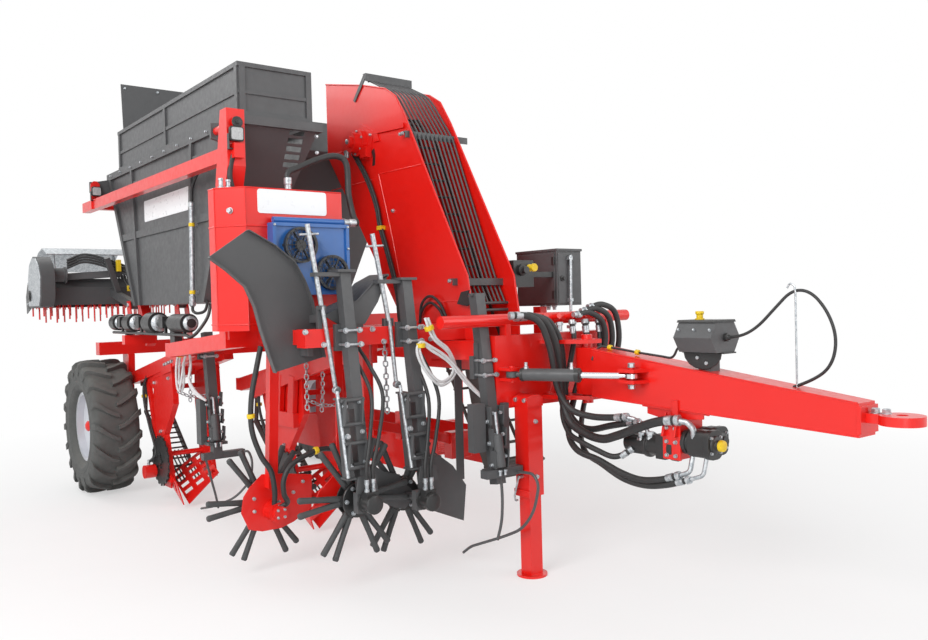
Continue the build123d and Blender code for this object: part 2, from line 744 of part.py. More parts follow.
def bunker_hopper():
    """Lower bunker: a tapered sheet box, narrow beside the elevator, open at the top."""
    # Rear, front, left, the nose's left side and the notch's rear
    wide = (50, 3100, BUNKER_LEFT, 820, 2130)
    narrow = (720, 2420, 1700, 480, 1860)

    def layer(outline, z):
        return Plane(origin=(0, 0, z)) * make_face(Polyline(*outline, close=True))

    outer = loft([layer(bunker_outline(*narrow), BUNKER_BOTTOM),
                  layer(bunker_outline(*wide), BUNKER_TOP)], ruled=True)
    inner = loft([layer(bunker_outline(*narrow, inset=SHEET), BUNKER_BOTTOM + SHEET),
                  layer(bunker_outline(*wide, inset=SHEET), BUNKER_TOP + 1)], ruled=True)
    shell = outer - inner
    # Slots of the window in the nose's front wall
    for step in range(5):
        slot_z = 2700 + step * 52
        shell = shell - box(2800, 3120, 590, 705, slot_z, slot_z + 34)
    ribs = [rib - inner for rib in hopper_ribs(wide, narrow)]
    lugs = [
        cross_plate([(10, 2820), (90, 2800), (230, 2780), (230, 2960), (90, 2930), (10, 2920)],
                    60, 84),
        cross_plate([(10, 2820), (90, 2800), (230, 2780), (230, 2960), (90, 2930), (10, 2920)],
                    3066, 3090),
    ]
    bore = rod((0, TIP_Y, TIP_Z), (3200, TIP_Y, TIP_Z), TIP_PIN + RUNNING_FIT)
    return joined([shell, *ribs, *[lug - bore for lug in lugs]])


def bunker_extension():
    """Upper sheet ring of the bunker with its posts and rails, set back beside the elevator."""
    rear, front, left, nose, notch = 320, 3090, BUNKER_LEFT - 20, 780, 1670
    outline = bunker_outline(rear, front, left, nose, notch, inset=20)
    outer = make_face(Polyline(*outline, close=True))
    ring = outer - offset(outer, amount=-5)
    height = EXTENSION_TOP - BUNKER_TOP
    wall = extrude(Plane(origin=(0, 0, BUNKER_TOP)) * ring, amount=height)
    right = BUNKER_RIGHT + 20
    pieces = [wall]
    # Rails round the ring: foot height, height, how far they stand out
    for foot, tall, out in ((0, 30, 14), (150, 26, 10), (height - 30, 30, 14)):
        z = BUNKER_TOP + foot
        pieces.append(box(rear + 20, front - 20, right - out, right, z, z + tall))
        pieces.append(box(front - 20, front - 20 + out, right - out, nose - 20, z, z + tall))
        pieces.append(box(rear + 20 - out, rear + 20, right - out, left - 20, z, z + tall))
        pieces.append(box(rear + 20, notch - 20, left - 20, left - 20 + out, z, z + tall))
    # Posts of the right hand wall: x; of the front wall: y
    for x in (rear + 20, 1590, front - 62):
        pieces.append(box(x, x + 42, right - 14, right, BUNKER_TOP, EXTENSION_TOP))
    for y in (right, nose - 62):
        pieces.append(box(front - 20, front - 6, y, y + 42, BUNKER_TOP, EXTENSION_TOP))
    return joined(pieces)


def bunker_flap():
    """Tilted sheet that throws the beet back into the bunker."""
    return beam((60, 700, 3000), (-20, 700, 3900), 700, 8)


# Tanks and covers


def oil_tank():
    """Oil tank with its chamfered front corner."""
    outline = [(3340, -120), (3440, -120), (3600, 10), (3600, 680), (3340, 680)]
    return flat_plate(outline, 1560, 2440)


def oil_cooler():
    """Cooler core in its frame with the header on top, in front of the tank."""
    pieces = [box(3600, 3664, 160, 675, 1785, 2215)]
    # Frame: y and z of the two corners of each member
    for y0, y1, z0, z1 in ((150, 172, 1775, 2225), (663, 685, 1775, 2225), (150, 685, 1775, 1797),
                           (150, 685, 2203, 2225)):
        pieces.append(box(3600, 3680, y0, y1, z0, z1))
    pieces.append(rod((3640, 170, 2243), (3640, 665, 2243), 20))
    return joined(pieces)


def cooler_fans():
    """Two fans with their rings in front of the cooler core."""
    pieces = []
    # Fan: y, z
    for y, z in ((328, 2085), (545, 1914)):
        ring = rod((3680, y, z), (3712, y, z), 112) - rod((3670, y, z), (3720, y, z), 98)
        pieces.append(ring)
        pieces.append(rod((3684, y, z), (3706, y, z), 34))
        for step in range(6):
            turn = radians(step * 60)
            tip = (3696, y + 104 * cos(turn), z + 104 * sin(turn))
            pieces.append(beam((3696, y, z), tip, 26, 4, side=(1, 0, 0)))
        for side in (-1, 1):
            pieces.append(box(3664, 3690, y + side * 104 - 8, y + side * 104 + 8, z - 8, z + 8))
    return joined(pieces)


def leaf_chute():
    """Two bent sheet chutes that lead leaves to the right, on their brackets."""
    profile = [(-350, 1980), (-100, 2150), (60, 1850), (120, 1500), (500, 1150), (520, 1165),
               (140, 1515), (80, 1860), (-95, 2172), (-352, 1998)]
    second = [(312, 1600), (312, 1644), (544, 1730), (668, 1843), (780, 1895), (788, 1882),
              (678, 1830), (552, 1718), (330, 1632), (330, 1600)]
    wall = [(330, 1636), (548, 1722), (672, 1835), (780, 1893), (700, 1720), (600, 1583),
            (420, 1583)]
    return joined(
        [
            cross_plate(profile, 3690, 3885),
            box(3600, 3700, 60, 110, 1640, 1760),
            cross_plate(second, 3760, 3988),
            cross_plate(wall, 3980, 3988),
            box(3960, 3984, 540, 590, 1560, 1600),
        ]
    )


def depth_spindles():
    """Galvanised screw spindles that set the toppers' height, with their cross handles."""
    pieces = []
    # Spindle: top y, top z, foot y, foot z, handle z
    for y0, z0, y1, z1, handle in ((212, 2185, 290, 1700, 2125), (657, 2141, 758, 1600, 2065)):
        share = (z0 - handle) / (z0 - z1)
        middle = y0 + (y1 - y0) * share
        pieces.append(rod((4010, y0, z0), (4010, y1, z1), 15))
        pieces.append(rod((4010, middle - 62, handle - 4), (4010, middle + 62, handle + 4), 7))
    return joined(pieces)


def spindle_brackets():
    """Plates that carry the spindles beside the heads of the topper legs."""
    pieces = [
        box(3980, 4040, 236, 405, 1876, 1900),
        box(3980, 4034, 672, 845, 1832, 1856),
        box(3980, 4030, 270, 310, 1680, 1704),
        box(3975, 4000, 270, 300, 1560, 1704),
        box(3976, 4004, 730, 800, 1565, 1614),
    ]
    return joined(pieces)


def control_box():
    """Switch and valve cabinet on the left of the frame."""
    return box(3560, 4000, 2240, 2490, 1660, 2070)


def box_post():
    """Post that carries the cabinet."""
    return joined([box(3740, 3820, 2235, 2300, 1440, 1655), box(3700, 3860, 2150, 2300, 1400, 1440)])


def drive_row():
    """Row of glands and the bright shaft along the bottom edge of the bunker."""
    pieces = [rod((420, 110, 1600), (2350, 110, 1600), 34)]
    # Glands: x, length, radius
    for x, length, radius in ((440, 130, 72), (860, 160, 78), (1420, 190, 86), (2000, 300, 70)):
        pieces.append(rod((x, 110, 1600), (x + length, 110, 1600), radius))
    pieces.append(box(1900, 2000, 100, 160, 1440, 1600))
    pieces.append(box(790, 830, 80, 140, 1480, 1600))
    return joined(pieces)


# Stand, drawbar and steering


def stand_sleeve():
    """Square sleeve of the parking stand on its bracket."""
    return tube((4600, 1385, 500), (4600, 1385, 1052), 120, 120, 8)


def stand_leg():
    """Inner leg of the stand with its round foot."""
    leg = box(4553, 4647, 1338, 1432, 12, 800)
    foot = rod((4600, 1385, 0), (4600, 1385, 14), 95)
    return joined([leg, foot])


def drawbar():
    """Tapered drawbar with its pivot knuckle and steering lugs."""
    root = Plane(origin=(4900, DRAWBAR_Y, 1255), x_dir=(0, 1, 0), z_dir=(1, 0, 0))
    tip = Plane(origin=(6540, DRAWBAR_Y, 1110), x_dir=(0, 1, 0), z_dir=(1, 0, 0))
    bar = loft([root * Rectangle(220, 290), tip * Rectangle(150, 160)], ruled=True)
    knuckle = box(4760, 4900, DRAWBAR_Y - 70, DRAWBAR_Y + 70, 1110, 1400)
    nose = rod((DRAWBAR_PIVOT_X, DRAWBAR_Y, 1110), (DRAWBAR_PIVOT_X, DRAWBAR_Y, 1400), 70)
    bore = rod((DRAWBAR_PIVOT_X, DRAWBAR_Y, 1000), (DRAWBAR_PIVOT_X, DRAWBAR_Y, 1500),
               34 + RUNNING_FIT)
    lugs = [
        flat_plate([(5200, 1540), (5320, 1540), (5340, 1650), (5180, 1650)], z, z + 18)
        for z in (STEER_EYE[2] - 40, STEER_EYE[2] + 22)
    ]
    pin = rod((5260, 1590, STEER_EYE[2] - 50), (5260, 1590, STEER_EYE[2] + 50), STEER_PIN)
    return joined([bar, knuckle, nose, *lugs, pin]) - bore


def towing_eye():
    """Forged towing eye bolted to the drawbar's tip."""
    ring = rod((EYE_X, DRAWBAR_Y, EYE_Z - 22), (EYE_X, DRAWBAR_Y, EYE_Z + 22), 98)
    shank = box(6540, EYE_X, DRAWBAR_Y - 38, DRAWBAR_Y + 38, EYE_Z - 22, EYE_Z + 22)
    bore = rod((EYE_X, DRAWBAR_Y, EYE_Z - 60), (EYE_X, DRAWBAR_Y, EYE_Z + 60), EYE_BORE)
    return joined([ring, shank]) - bore


def pump_unit():
    """Pair of gear pumps hung under the drawbar."""
    return joined(
        [
            box(5500, 5540, 1640, 1860, 800, 1130),
            rod((5540, 1700, 900), (5800, 1700, 900), 75),
            rod((5540, 1840, 900), (5720, 1840, 900), 60),
        ]
    )


def control_unit():
    """Six sided control housing on its half round bracket."""
    post = box(5640, 5720, 1700, 1780, 1255, 1400)
    housing = cross_plate(
        [(1640, 1400), (1800, 1400), (1850, 1480), (1800, 1560), (1640, 1560), (1590, 1480)],
        5560,
        5800,
    )
    return joined([post, housing])


def hook_post():
    """Thin wire post with a hook for the cable."""
    return rod((6190, 1750, 1140), (6190, 1750, 1715), 5)


CABLE_ROUTE = (
    (5800, 1720, 1480),
    (5880, 1720, 1480),
    (5985, 1728, 1530),
    (6080, 1742, 1630),
    (6165, 1762, 1722),
    (6260, 1772, 1712),
    (6345, 1775, 1610),
    (6390, 1772, 1480),
    (6365, 1766, 1350),
    (6275, 1758, 1275),
    (6170, 1752, 1236),
)


def steering_barrel():
    """Barrel of the steering cylinder with its rear eye."""
    start, end = Vector(*STEER_BASE), Vector(*STEER_EYE)
    along = (end - start).normalized()
    barrel = rod(start + along * 60, start + along * 420, 38)
    eye = rod((start.X, start.Y, start.Z - 17), (start.X, start.Y, start.Z + 17), 36)
    neck = rod(start + along * 20, start + along * 70, 16)
    bore_line = rod(start + along * 80, start + along * 430, 18 + RUNNING_FIT)
    pin = rod((start.X, start.Y, 1200), (start.X, start.Y, 1310), STEER_PIN + RUNNING_FIT)
    return joined([barrel, eye, neck]) - bore_line - pin


def steering_rod():
    """Rod of the steering cylinder with its open eye."""
    start, end = Vector(*STEER_BASE), Vector(*STEER_EYE)
    along = (end - start).normalized()
    length = (end - start).length
    bar = rod(start + along * 250, start + along * (length - 20), 18)
    eye = rod((end.X, end.Y, end.Z - 12), (end.X, end.Y, end.Z + 12), 38)
    hole = rod((end.X, end.Y, 1200), (end.X, end.Y, 1310), STEER_PIN + 8)
    return joined([bar, eye]) - hole


# Rear topper


def topper_arm():
    """Arms that carry the rear topper from their pivots on the axle beam."""
    pieces = []
    for y in (430, 900):
        eye = rod((-110, y - 36, 1760), (-110, y + 36, 1760), 42)
        arm = beam((-110, y, 1760), (-800, y, 1900), 60, 80)
        bore = rod((-110, y - 60, 1760), (-110, y + 60, 1760), 20 + RUNNING_FIT)
        pieces.append(joined([eye, arm]) - bore)
    pieces.append(box(-700, -640, 400, 930, 1840, 1900))
    return joined(pieces)


def topper_housing():
    """Flail housing of the rear topper."""
    outline = [(-1180, 1780), (-1180, 1960), (-1080, 2050), (-880, 2050), (-800, 1960),
               (-800, 1780), (-812, 1780), (-812, 1950), (-890, 2038), (-1070, 2038),
               (-1168, 1950), (-1168, 1780)]
    cover = side_plate(outline, -300, 1100)
    ends = [
        side_plate([(-1180, 1760), (-1180, 1960), (-1080, 2050), (-880, 2050), (-800, 1960),
                    (-800, 1760)], y, y + 12)
        for y in (-312, 1100)
    ]
    return joined([cover, *ends])


def topper_deflector():
    """Light curved sheet over the topper."""
    curve = [(-1470, 2150), (-1200, 2330), (-1000, 2370), (-800, 2300), (-802, 2292),
             (-1000, 2360), (-1198, 2320), (-1464, 2142)]
    stay = [(-1060, 2050), (-900, 2050), (-980, 2362), (-1020, 2363)]
    return joined([side_plate(curve, -200, 600)]
                  + [side_plate(stay, y, y + 8) for y in (-100, 492)])


def topper_rotor():
    """Flail shaft of the rear topper."""
    x, _, z = TOPPER_SHAFT
    return rod((x, -290, z), (x, 1090, z), 40)


def carrying_web():
    """Bar web that carries the lifted beet forward to the elevator's foot."""
    pieces = []
    for y in (1330, 1890):
        pieces.append(side_plate([(900, 480), (3700, 480), (3700, 760), (900, 760)], y, y + 8))
    count = 40
    for step in range(count):
        x = 920 + step * (2760 / (count - 1))
        pieces.append(rod((x, 1332, 640), (x, 1896, 640), 9))
    # Hangers below the long beams: x, the web's side, the hanger's right face
    for x in (1100, 2900):
        for y, hanger_y in ((1330, 1270), (1898, 2132)):
            low, high = sorted((y, hanger_y))
            pieces.append(box(x, x + 60, low, high + 10, 700, 740))
            pieces.append(box(x, x + 60, hanger_y, hanger_y + 10, 700, 1320))
    return joined(pieces)


# Same-body pieces that are notched to seat on others: piece, the ones it is cut to
NOTCHED = (
    ("bunker_stand", ("chassis_frame",)),
    ("toolbar", ("chassis_frame",)),
    ("front_frame", ("chassis_frame",)),
    ("box_post", ("chassis_frame",)),
    ("drive_row", ("chassis_frame", "bunker_stand")),
    ("digger_frame_1", ("chassis_frame",)),
    ("digger_frame_2", ("chassis_frame", "toolbar")),
    ("digger_shares_1", ("digger_frame_1",)),
    ("digger_shares_2", ("digger_frame_2",)),
    ("lifting_web_1", ("digger_frame_1", "digger_shares_1")),
    ("lifting_web_2", ("digger_frame_2", "digger_shares_2")),
    ("elevator_housing", ("chassis_frame", "toolbar", "front_frame")),
    ("elevator_grille", ("elevator_housing",)),
    ("elevator_web", ("elevator_housing", "elevator_grille")),
    ("stand_sleeve", ("front_frame",)),
    ("topper_leg_1", ("toolbar",)),
    ("topper_leg_2", ("toolbar",)),
    ("row_finder_leg", ("front_frame", "chassis_frame", "hose_rail")),
    ("rear_leg", ("chassis_frame", "digger_frame_1", "digger_frame_2")),
    ("rotor_guards", ("chassis_frame", "topper_leg_2", "toolbar")),
    ("cleaning_disc_1", ("digger_frame_1",)),
    ("cleaning_disc_2", ("digger_frame_2",)),
    ("spindle_brackets", ("topper_leg_1", "topper_leg_2", "toolbar", "depth_spindles", "leaf_chute")),
    ("side_flail_carrier", ("toolbar", "chassis_frame")),
    ("leaf_chute", ("oil_tank", "oil_cooler", "toolbar", "cooler_fans")),
    ("cooler_fans", ("oil_cooler",)),
    ("carrying_web", ("chassis_frame", "digger_frame_2")),
    ("oil_tank", ("bunker_stand", "toolbar")),
    ("hose_rail", ("front_frame",)),
    ("control_unit", ("drawbar",)),
    ("hook_post", ("drawbar",)),
    ("pump_unit", ("drawbar",)),
    ("towing_eye", ("drawbar",)),
    ("topper_arm", ("topper_housing",)),
    ("bunker_flap", ("bunker_hopper",)),
)


def pieces():
    """Every piece by name."""
    made = {}
    for name, y, outer in (("right", WHEEL_Y[0], -1), ("left", WHEEL_Y[1], 1)):
        made[f"tyre_{name}"] = tyre(y)
        made[f"rim_{name}"] = rim(y, outer)
        made[f"hub_{name}"] = hub(y, outer)
        made[f"axle_leg_{name}"] = axle_leg(y, -outer)
    made["chassis_frame"] = chassis_frame()
    made["bunker_stand"] = bunker_stand()
    made["toolbar"] = toolbar()
    made["front_frame"] = front_frame()
    made["hose_rail"] = hose_rail()
    for (name, *leg), (_, rotor_x, rotor_y, rotor_z) in zip(LEGS, ROTORS):
        made[name] = topper_leg(*leg, rotor_y, rotor_x, rotor_z)
    made["row_finder_leg"] = finder_leg()
    made["rear_leg"] = rear_leg()
    for name, x, y, z in ROTORS:
        made[name] = flail_rotor(x, y, z)
    made["side_flail_carrier"] = side_flail_carrier()
    made["rotor_guards"] = rotor_guards()
    # Diggers: tip x, tip y, front end of the arch beam
    for number, (x, y, beam_end) in enumerate(((1300, 360, 1900), (2800, 810, 3895)), 1):
        made[f"digger_frame_{number}"] = digger_frame(x, y, beam_end)
        made[f"digger_shares_{number}"] = digger_shares(x, y)
        made[f"cleaning_disc_{number}"] = cleaning_disc(x, y)
        made[f"lifting_web_{number}"] = lifting_web(x, y)
    made["carrying_web"] = carrying_web()
    made["elevator_housing"] = elevator_housing()
    made["elevator_grille"] = elevator_grille()
    made["elevator_web"] = elevator_web()
    made["bunker_hopper"] = bunker_hopper()
    made["bunker_extension"] = bunker_extension()
    made["bunker_flap"] = bunker_flap()
    made["oil_tank"] = oil_tank()
    made["oil_cooler"] = oil_cooler()
    made["cooler_fans"] = cooler_fans()
    made["leaf_chute"] = leaf_chute()
    made["depth_spindles"] = depth_spindles()
    made["spindle_brackets"] = spindle_brackets()
    made["control_box"] = control_box()
    made["box_post"] = box_post()
    made["drive_row"] = drive_row()
    made["stand_sleeve"] = stand_sleeve()
    made["stand_leg"] = stand_leg()
    made["drawbar"] = drawbar()
    made["towing_eye"] = towing_eye()
    made["pump_unit"] = pump_unit()
    made["control_unit"] = control_unit()
    made["hook_post"] = hook_post()
    made["control_cable"] = cord_tube(CABLE_ROUTE, 8, "control_cable")
    made["steering_barrel"] = steering_barrel()
    made["steering_rod"] = steering_rod()
    made["topper_arm"] = topper_arm()
    made["topper_housing"] = topper_housing()
    made["topper_deflector"] = topper_deflector()
    made["topper_rotor"] = topper_rotor()
    return made


def main():
    """Builds every piece, seats the notched ones and writes them all."""
    os.makedirs("parts", exist_ok=True)
    made = pieces()
    for name, seats in NOTCHED:
        for seat in seats:
            made[name] = made[name] - made[seat]
    for name, shape in made.items():
        save(name, shape)


main()
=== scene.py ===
"""Looks of a towed two row sugar beet harvester, dressed over its fixed frame.

Pieces are drawn in the machine's own lines, in millimetres: X from the wheel axle forward,
Y from the right hand edge of the digging track to the left, Z from the ground.
"""

from __future__ import annotations

import logging
import math
from dataclasses import dataclass
from enum import Enum
from functools import partial
from typing import Mapping, Sequence

import bmesh
import bpy
from mathutils import Matrix, Vector

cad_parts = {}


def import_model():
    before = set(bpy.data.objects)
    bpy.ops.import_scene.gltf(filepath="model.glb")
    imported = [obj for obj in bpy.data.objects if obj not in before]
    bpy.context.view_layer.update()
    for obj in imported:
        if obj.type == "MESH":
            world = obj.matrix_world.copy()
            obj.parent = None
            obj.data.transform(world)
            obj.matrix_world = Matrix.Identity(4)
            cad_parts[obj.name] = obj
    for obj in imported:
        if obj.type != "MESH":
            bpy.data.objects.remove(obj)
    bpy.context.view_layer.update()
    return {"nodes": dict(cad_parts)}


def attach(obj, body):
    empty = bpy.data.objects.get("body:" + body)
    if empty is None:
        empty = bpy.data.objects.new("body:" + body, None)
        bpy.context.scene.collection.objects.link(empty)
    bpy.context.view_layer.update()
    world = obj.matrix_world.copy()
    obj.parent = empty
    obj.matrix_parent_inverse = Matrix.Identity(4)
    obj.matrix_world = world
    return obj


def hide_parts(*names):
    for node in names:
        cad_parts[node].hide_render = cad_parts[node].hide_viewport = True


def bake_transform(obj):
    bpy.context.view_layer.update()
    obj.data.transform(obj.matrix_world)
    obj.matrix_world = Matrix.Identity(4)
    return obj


LOG = logging.getLogger("harvester")

# The machine's lines in the frame: where its axle and its right hand edge lie, in mm
ORIGIN_X = 2664.0
ORIGIN_Y = 1147.25
MM = 0.001
WHITE_LIGHT = (1, 1, 1, 1)

# The machine's directions
AHEAD, LEFT, UP = (1, 0, 0), (0, 1, 0), (0, 0, 1)
BACK, RIGHT, DOWN = (-1, 0, 0), (0, -1, 0), (0, 0, -1)

# Specks of dust are about 35 mm across, and a grain of the surface stands this high, in m
SPECK_SCALE = 28.0
GRAIN_HEIGHT = 0.0015
# Edges sharper than these are drawn hard, or broken by a bevel, in degrees
HARD_EDGE = 35.0
BROKEN_EDGE = 40.0
# Thickness of a washer, length of a hose clip and reach of a U bolt past its leg, in mm
WASHER = 3.5
CLIP_LENGTH = 28.0
U_BOLT_REACH = 44.0
# Radius that a lug's lead and width are measured at
LEAD_RADIUS = 600.0
# Lean of the tool legs off the upright, in degrees
LEG_LEAN = 8.0
# Height of the bunker's rim and how far the galvanised tube leans back for each mm down
BUNKER_TOP = 3000.0
TUBE_LEAN = 0.057

Point = Sequence[float]


def at(x: float, y: float, z: float) -> Vector:
    """Turns a point of the machine's lines, in mm, to the frame's metres."""
    return Vector(((x - ORIGIN_X) * MM, (y - ORIGIN_Y) * MM, z * MM))


class Body(Enum):
    """Bodies of the machine that the pieces here ride on."""

    FRAME = "frame"
    WHEEL_RIGHT = "wheel_right"
    WHEEL_LEFT = "wheel_left"
    BUNKER = "bunker"
    DRAWBAR = "drawbar"
    STEER_BARREL = "steer_barrel"
    FLAIL_1 = "flail_1"
    FLAIL_2 = "flail_2"
    FLAIL_3 = "flail_3"
    REAR_TOPPER = "rear_topper"
    TOPPER_SHAFT = "topper_shaft"


class Across(Enum):
    """Direction that a flat plate is thick along."""

    X = 0
    Y = 1
    Z = 2


# Finishes


def linear(colour: str) -> tuple[float, float, float, float]:
    """Turns an sRGB hex colour to linear light.

    Args:
        colour: Six hex digits.

    Returns:
        Red, green, blue and an alpha of 1.
    """
    parts = [int(colour[i : i + 2], 16) / 255 for i in (0, 2, 4)]
    light = [p / 12.92 if p <= 0.04045 else ((p + 0.055) / 1.055) ** 2.4 for p in parts]
    return light[0], light[1], light[2], 1.0


def add(
    tree: bpy.types.NodeTree,
    kind: str,
    inputs: Mapping[int | str, object] | None = None,
    **settings: object,
) -> bpy.types.Node:
    """Adds a node with its settings and its inputs.

    Args:
        tree: The node tree that gets it.
        kind: Blender's name of the node's type.
        inputs: Input name or number to a value, or to the socket that feeds it.
        settings: Properties of the node itself.

    Returns:
        The new node.
    """
    made = tree.nodes.new(kind)
    for name, value in settings.items():
        setattr(made, name, value)
    for name, value in (inputs or {}).items():
        if isinstance(value, bpy.types.NodeSocket):
            tree.links.new(value, made.inputs[name])
        else:
            made.inputs[name].default_value = value
    return made


@dataclass(frozen=True)
class Finish:
    """A surface: what it is made of and how it was made.

    The colour drifts over patches of a real size, fine grain breaks the gloss, and dust
    settles on what faces up.
    """

    name: str
    colour: str
    shade: str
    roughness: float = 0.4
    metallic: float = 0.0
    coat: float = 0.0
    patch_mm: float = 350.0
    patch_mix: float = 0.35
    grain_mm: float = 4.0
    grain_depth: float = 0.04
    dust: str = "8f8778"
    dust_mix: float = 0.06
    cells: bool = False
    slot: str = ""

    def material(self) -> bpy.types.Material:
        """Makes the node material, or finds it if it is made."""
        found = bpy.data.materials.get(self.name)
        if found is not None:
            return found
        made = bpy.data.materials.new(self.name)
        made.use_nodes = True
        tree = made.node_tree
        tree.nodes.clear()
        node = partial(add, tree)
        place = node("ShaderNodeTexCoord").outputs["Object"]
        spread = {"Vector": place, "Scale": 1000 / self.patch_mm}
        if self.cells:
            patch = node("ShaderNodeTexVoronoi", spread).outputs["Color"]
            patch = node("ShaderNodeSeparateColor", {0: patch}).outputs[0]
        else:
            patch = node("ShaderNodeTexNoise", {**spread, "Detail": 5.0}).outputs[0]
        limits = {0: patch, 1: 0.3, 2: 0.75, 3: 0.0, 4: self.patch_mix}
        share = node("ShaderNodeMapRange", limits).outputs[0]
        tones = {0: share, 6: linear(self.colour), 7: linear(self.shade)}
        colour = node("ShaderNodeMix", tones, data_type="RGBA").outputs[2]
        # Dust lies on what faces up, more where the specks are dense
        normal = node("ShaderNodeNewGeometry").outputs["Normal"]
        up = node("ShaderNodeSeparateXYZ", {0: normal}).outputs[2]
        speck = node(
            "ShaderNodeTexNoise", {"Vector": place, "Scale": SPECK_SCALE, "Detail": 8.0}
        ).outputs[0]
        settled = node("ShaderNodeMath", {0: up, 1: speck}, operation="MULTIPLY").outputs[0]
        limits = {0: settled, 1: 0.1, 2: 0.6, 3: self.dust_mix * 0.3, 4: self.dust_mix}
        settled = node("ShaderNodeMapRange", limits).outputs[0]
        tones = {0: settled, 6: colour, 7: linear(self.dust)}
        colour = node("ShaderNodeMix", tones, data_type="RGBA").outputs[2]
        grain = node(
            "ShaderNodeTexNoise",
            {"Vector": place, "Scale": 1000 / self.grain_mm, "Detail": 3.0},
        ).outputs[0]
        low, high = self.roughness * 0.85, min(1.0, self.roughness * 1.2)
        limits = {0: speck, 1: 0.3, 2: 0.7, 3: low, 4: high}
        rough = node("ShaderNodeMapRange", limits).outputs[0]
        depth = min(1.0, self.grain_depth * 4)
        relief = {"Height": grain, "Strength": depth, "Distance": GRAIN_HEIGHT}
        bump = node("ShaderNodeBump", relief).outputs[0]
        surface = node(
            "ShaderNodeBsdfPrincipled",
            {
                "Base Color": colour,
                "Roughness": rough,
                "Metallic": self.metallic,
                "Coat Weight": self.coat,
                "Coat Roughness": 0.08,
                "Normal": bump,
            },
        )
        node("ShaderNodeOutputMaterial", {0: surface.outputs[0]})
        return made


class Finishes:
    """Every finish on the machine, named for what it is."""

    # Two-pack enamel sprayed on steel: glossy, faint orange peel
    RED = Finish(
        "red_sprayed_enamel", "e3160c", "d4120a", roughness=0.34, coat=0.25, patch_mm=700,
        patch_mix=0.5, grain_mm=9, grain_depth=0.006, dust_mix=0.012, slot="red_paint",
    )
    # Powder coat on sheet: satin dark grey
    GREY = Finish(
        "anthracite_powder_coat", "4f5052", "434547", roughness=0.48, coat=0.05, patch_mm=420,
        patch_mix=0.6, grain_mm=3, grain_depth=0.04, slot="grey_paint",
    )
    # Black enamel on castings: satin over a coarse skin
    CAST = Finish(
        "black_enamelled_casting", "1d1e20", "292a2b", roughness=0.42, coat=0.15, patch_mm=120,
        patch_mix=0.5, grain_mm=6, grain_depth=0.12, slot="cast_black",
    )
    # Enamel sprayed on the cooler: glossy blue
    BLUE = Finish(
        "blue_sprayed_enamel", "1f63ad", "1a5496", roughness=0.35, coat=0.3, patch_mm=200,
        patch_mix=0.5, grain_mm=4, grain_depth=0.03, slot="blue_paint",
    )
    # Wheel enamel with metal flake: a soft sheen
    SILVER = Finish(
        "silver_wheel_enamel", "d3d6dc", "bfc2c9", roughness=0.38, metallic=0.35, coat=0.2,
        patch_mm=150, patch_mix=0.4, grain_mm=3, grain_depth=0.02, slot="rim_paint",
    )
    # Hot dip galvanising: zinc crystals about 15 mm across
    ZINC = Finish(
        "galvanised_steel", "c3c7ca", "9da3a8", roughness=0.42, metallic=0.85, patch_mm=15,
        patch_mix=0.8, grain_mm=3, grain_depth=0.04, cells=True, slot="zinc",
    )
    # Rolled steel bars, rubbed dark by the crop
    STEEL = Finish(
        "dark_rolled_steel", "4b4746", "38332f", roughness=0.42, metallic=0.6, patch_mm=60,
        patch_mix=0.7, grain_mm=5, grain_depth=0.12, slot="bare_steel",
    )
    # Hard chrome plating, ground: a near mirror
    CHROME = Finish(
        "hard_chrome_plating", "dfe2e6", "cdd1d6", roughness=0.1, metallic=1.0, patch_mm=300,
        patch_mix=0.2, grain_mm=2, grain_depth=0.003, slot="chrome_rod",
    )
    # Moulded tyre rubber with a bloom of dust
    TYRE = Finish(
        "moulded_tyre_rubber", "4e5050", "3e4040", roughness=0.82, patch_mm=90, patch_mix=0.6,
        grain_mm=3, grain_depth=0.22, dust="a6a399", dust_mix=0.22, slot="tyre_rubber",
    )
    # Hose cover, wrapped and cured: satin black with a fine weave
    RUBBER = Finish(
        "black_hose_rubber", "222325", "2e2f31", roughness=0.5, patch_mm=50, patch_mix=0.5,
        grain_mm=2.5, grain_depth=0.14, slot="black_rubber",
    )
    # Moulded rubber of the fingers, rubbed dull by leaves
    FLAIL = Finish(
        "moulded_flail_rubber", "3c3e40", "4a4c4d", roughness=0.62, patch_mm=70, patch_mix=0.6,
        grain_mm=4, grain_depth=0.2, slot="black_rubber",
    )
    # Polyamide, injection moulded: satin, even
    YELLOW = Finish(
        "yellow_moulded_polyamide", "e8c61c", "d9b414", roughness=0.45, patch_mm=60, patch_mix=0.4,
        grain_mm=2, grain_depth=0.05,
    )
    # Vinyl film on a plate: smooth, even white
    WHITE = Finish(
        "blank_white_vinyl", "eef0f2", "e4e6e8", roughness=0.3, coat=0.3, patch_mm=300,
        patch_mix=0.3, grain_mm=3, grain_depth=0.002, dust_mix=0.0,
    )
    # Moulded lamp lens: bright, broken by its ribs
    LENS = Finish(
        "ribbed_lamp_lens", "b9bbbc", "8f9092", roughness=0.15, coat=0.8, patch_mm=12,
        patch_mix=0.7, grain_mm=2, grain_depth=0.1,
    )
    # Woven textile cover: dull white
    CLOTH = Finish(
        "white_textile_hose", "dcdedf", "c4c7c9", roughness=0.6, patch_mm=30, patch_mix=0.6,
        grain_mm=2, grain_depth=0.1,
    )


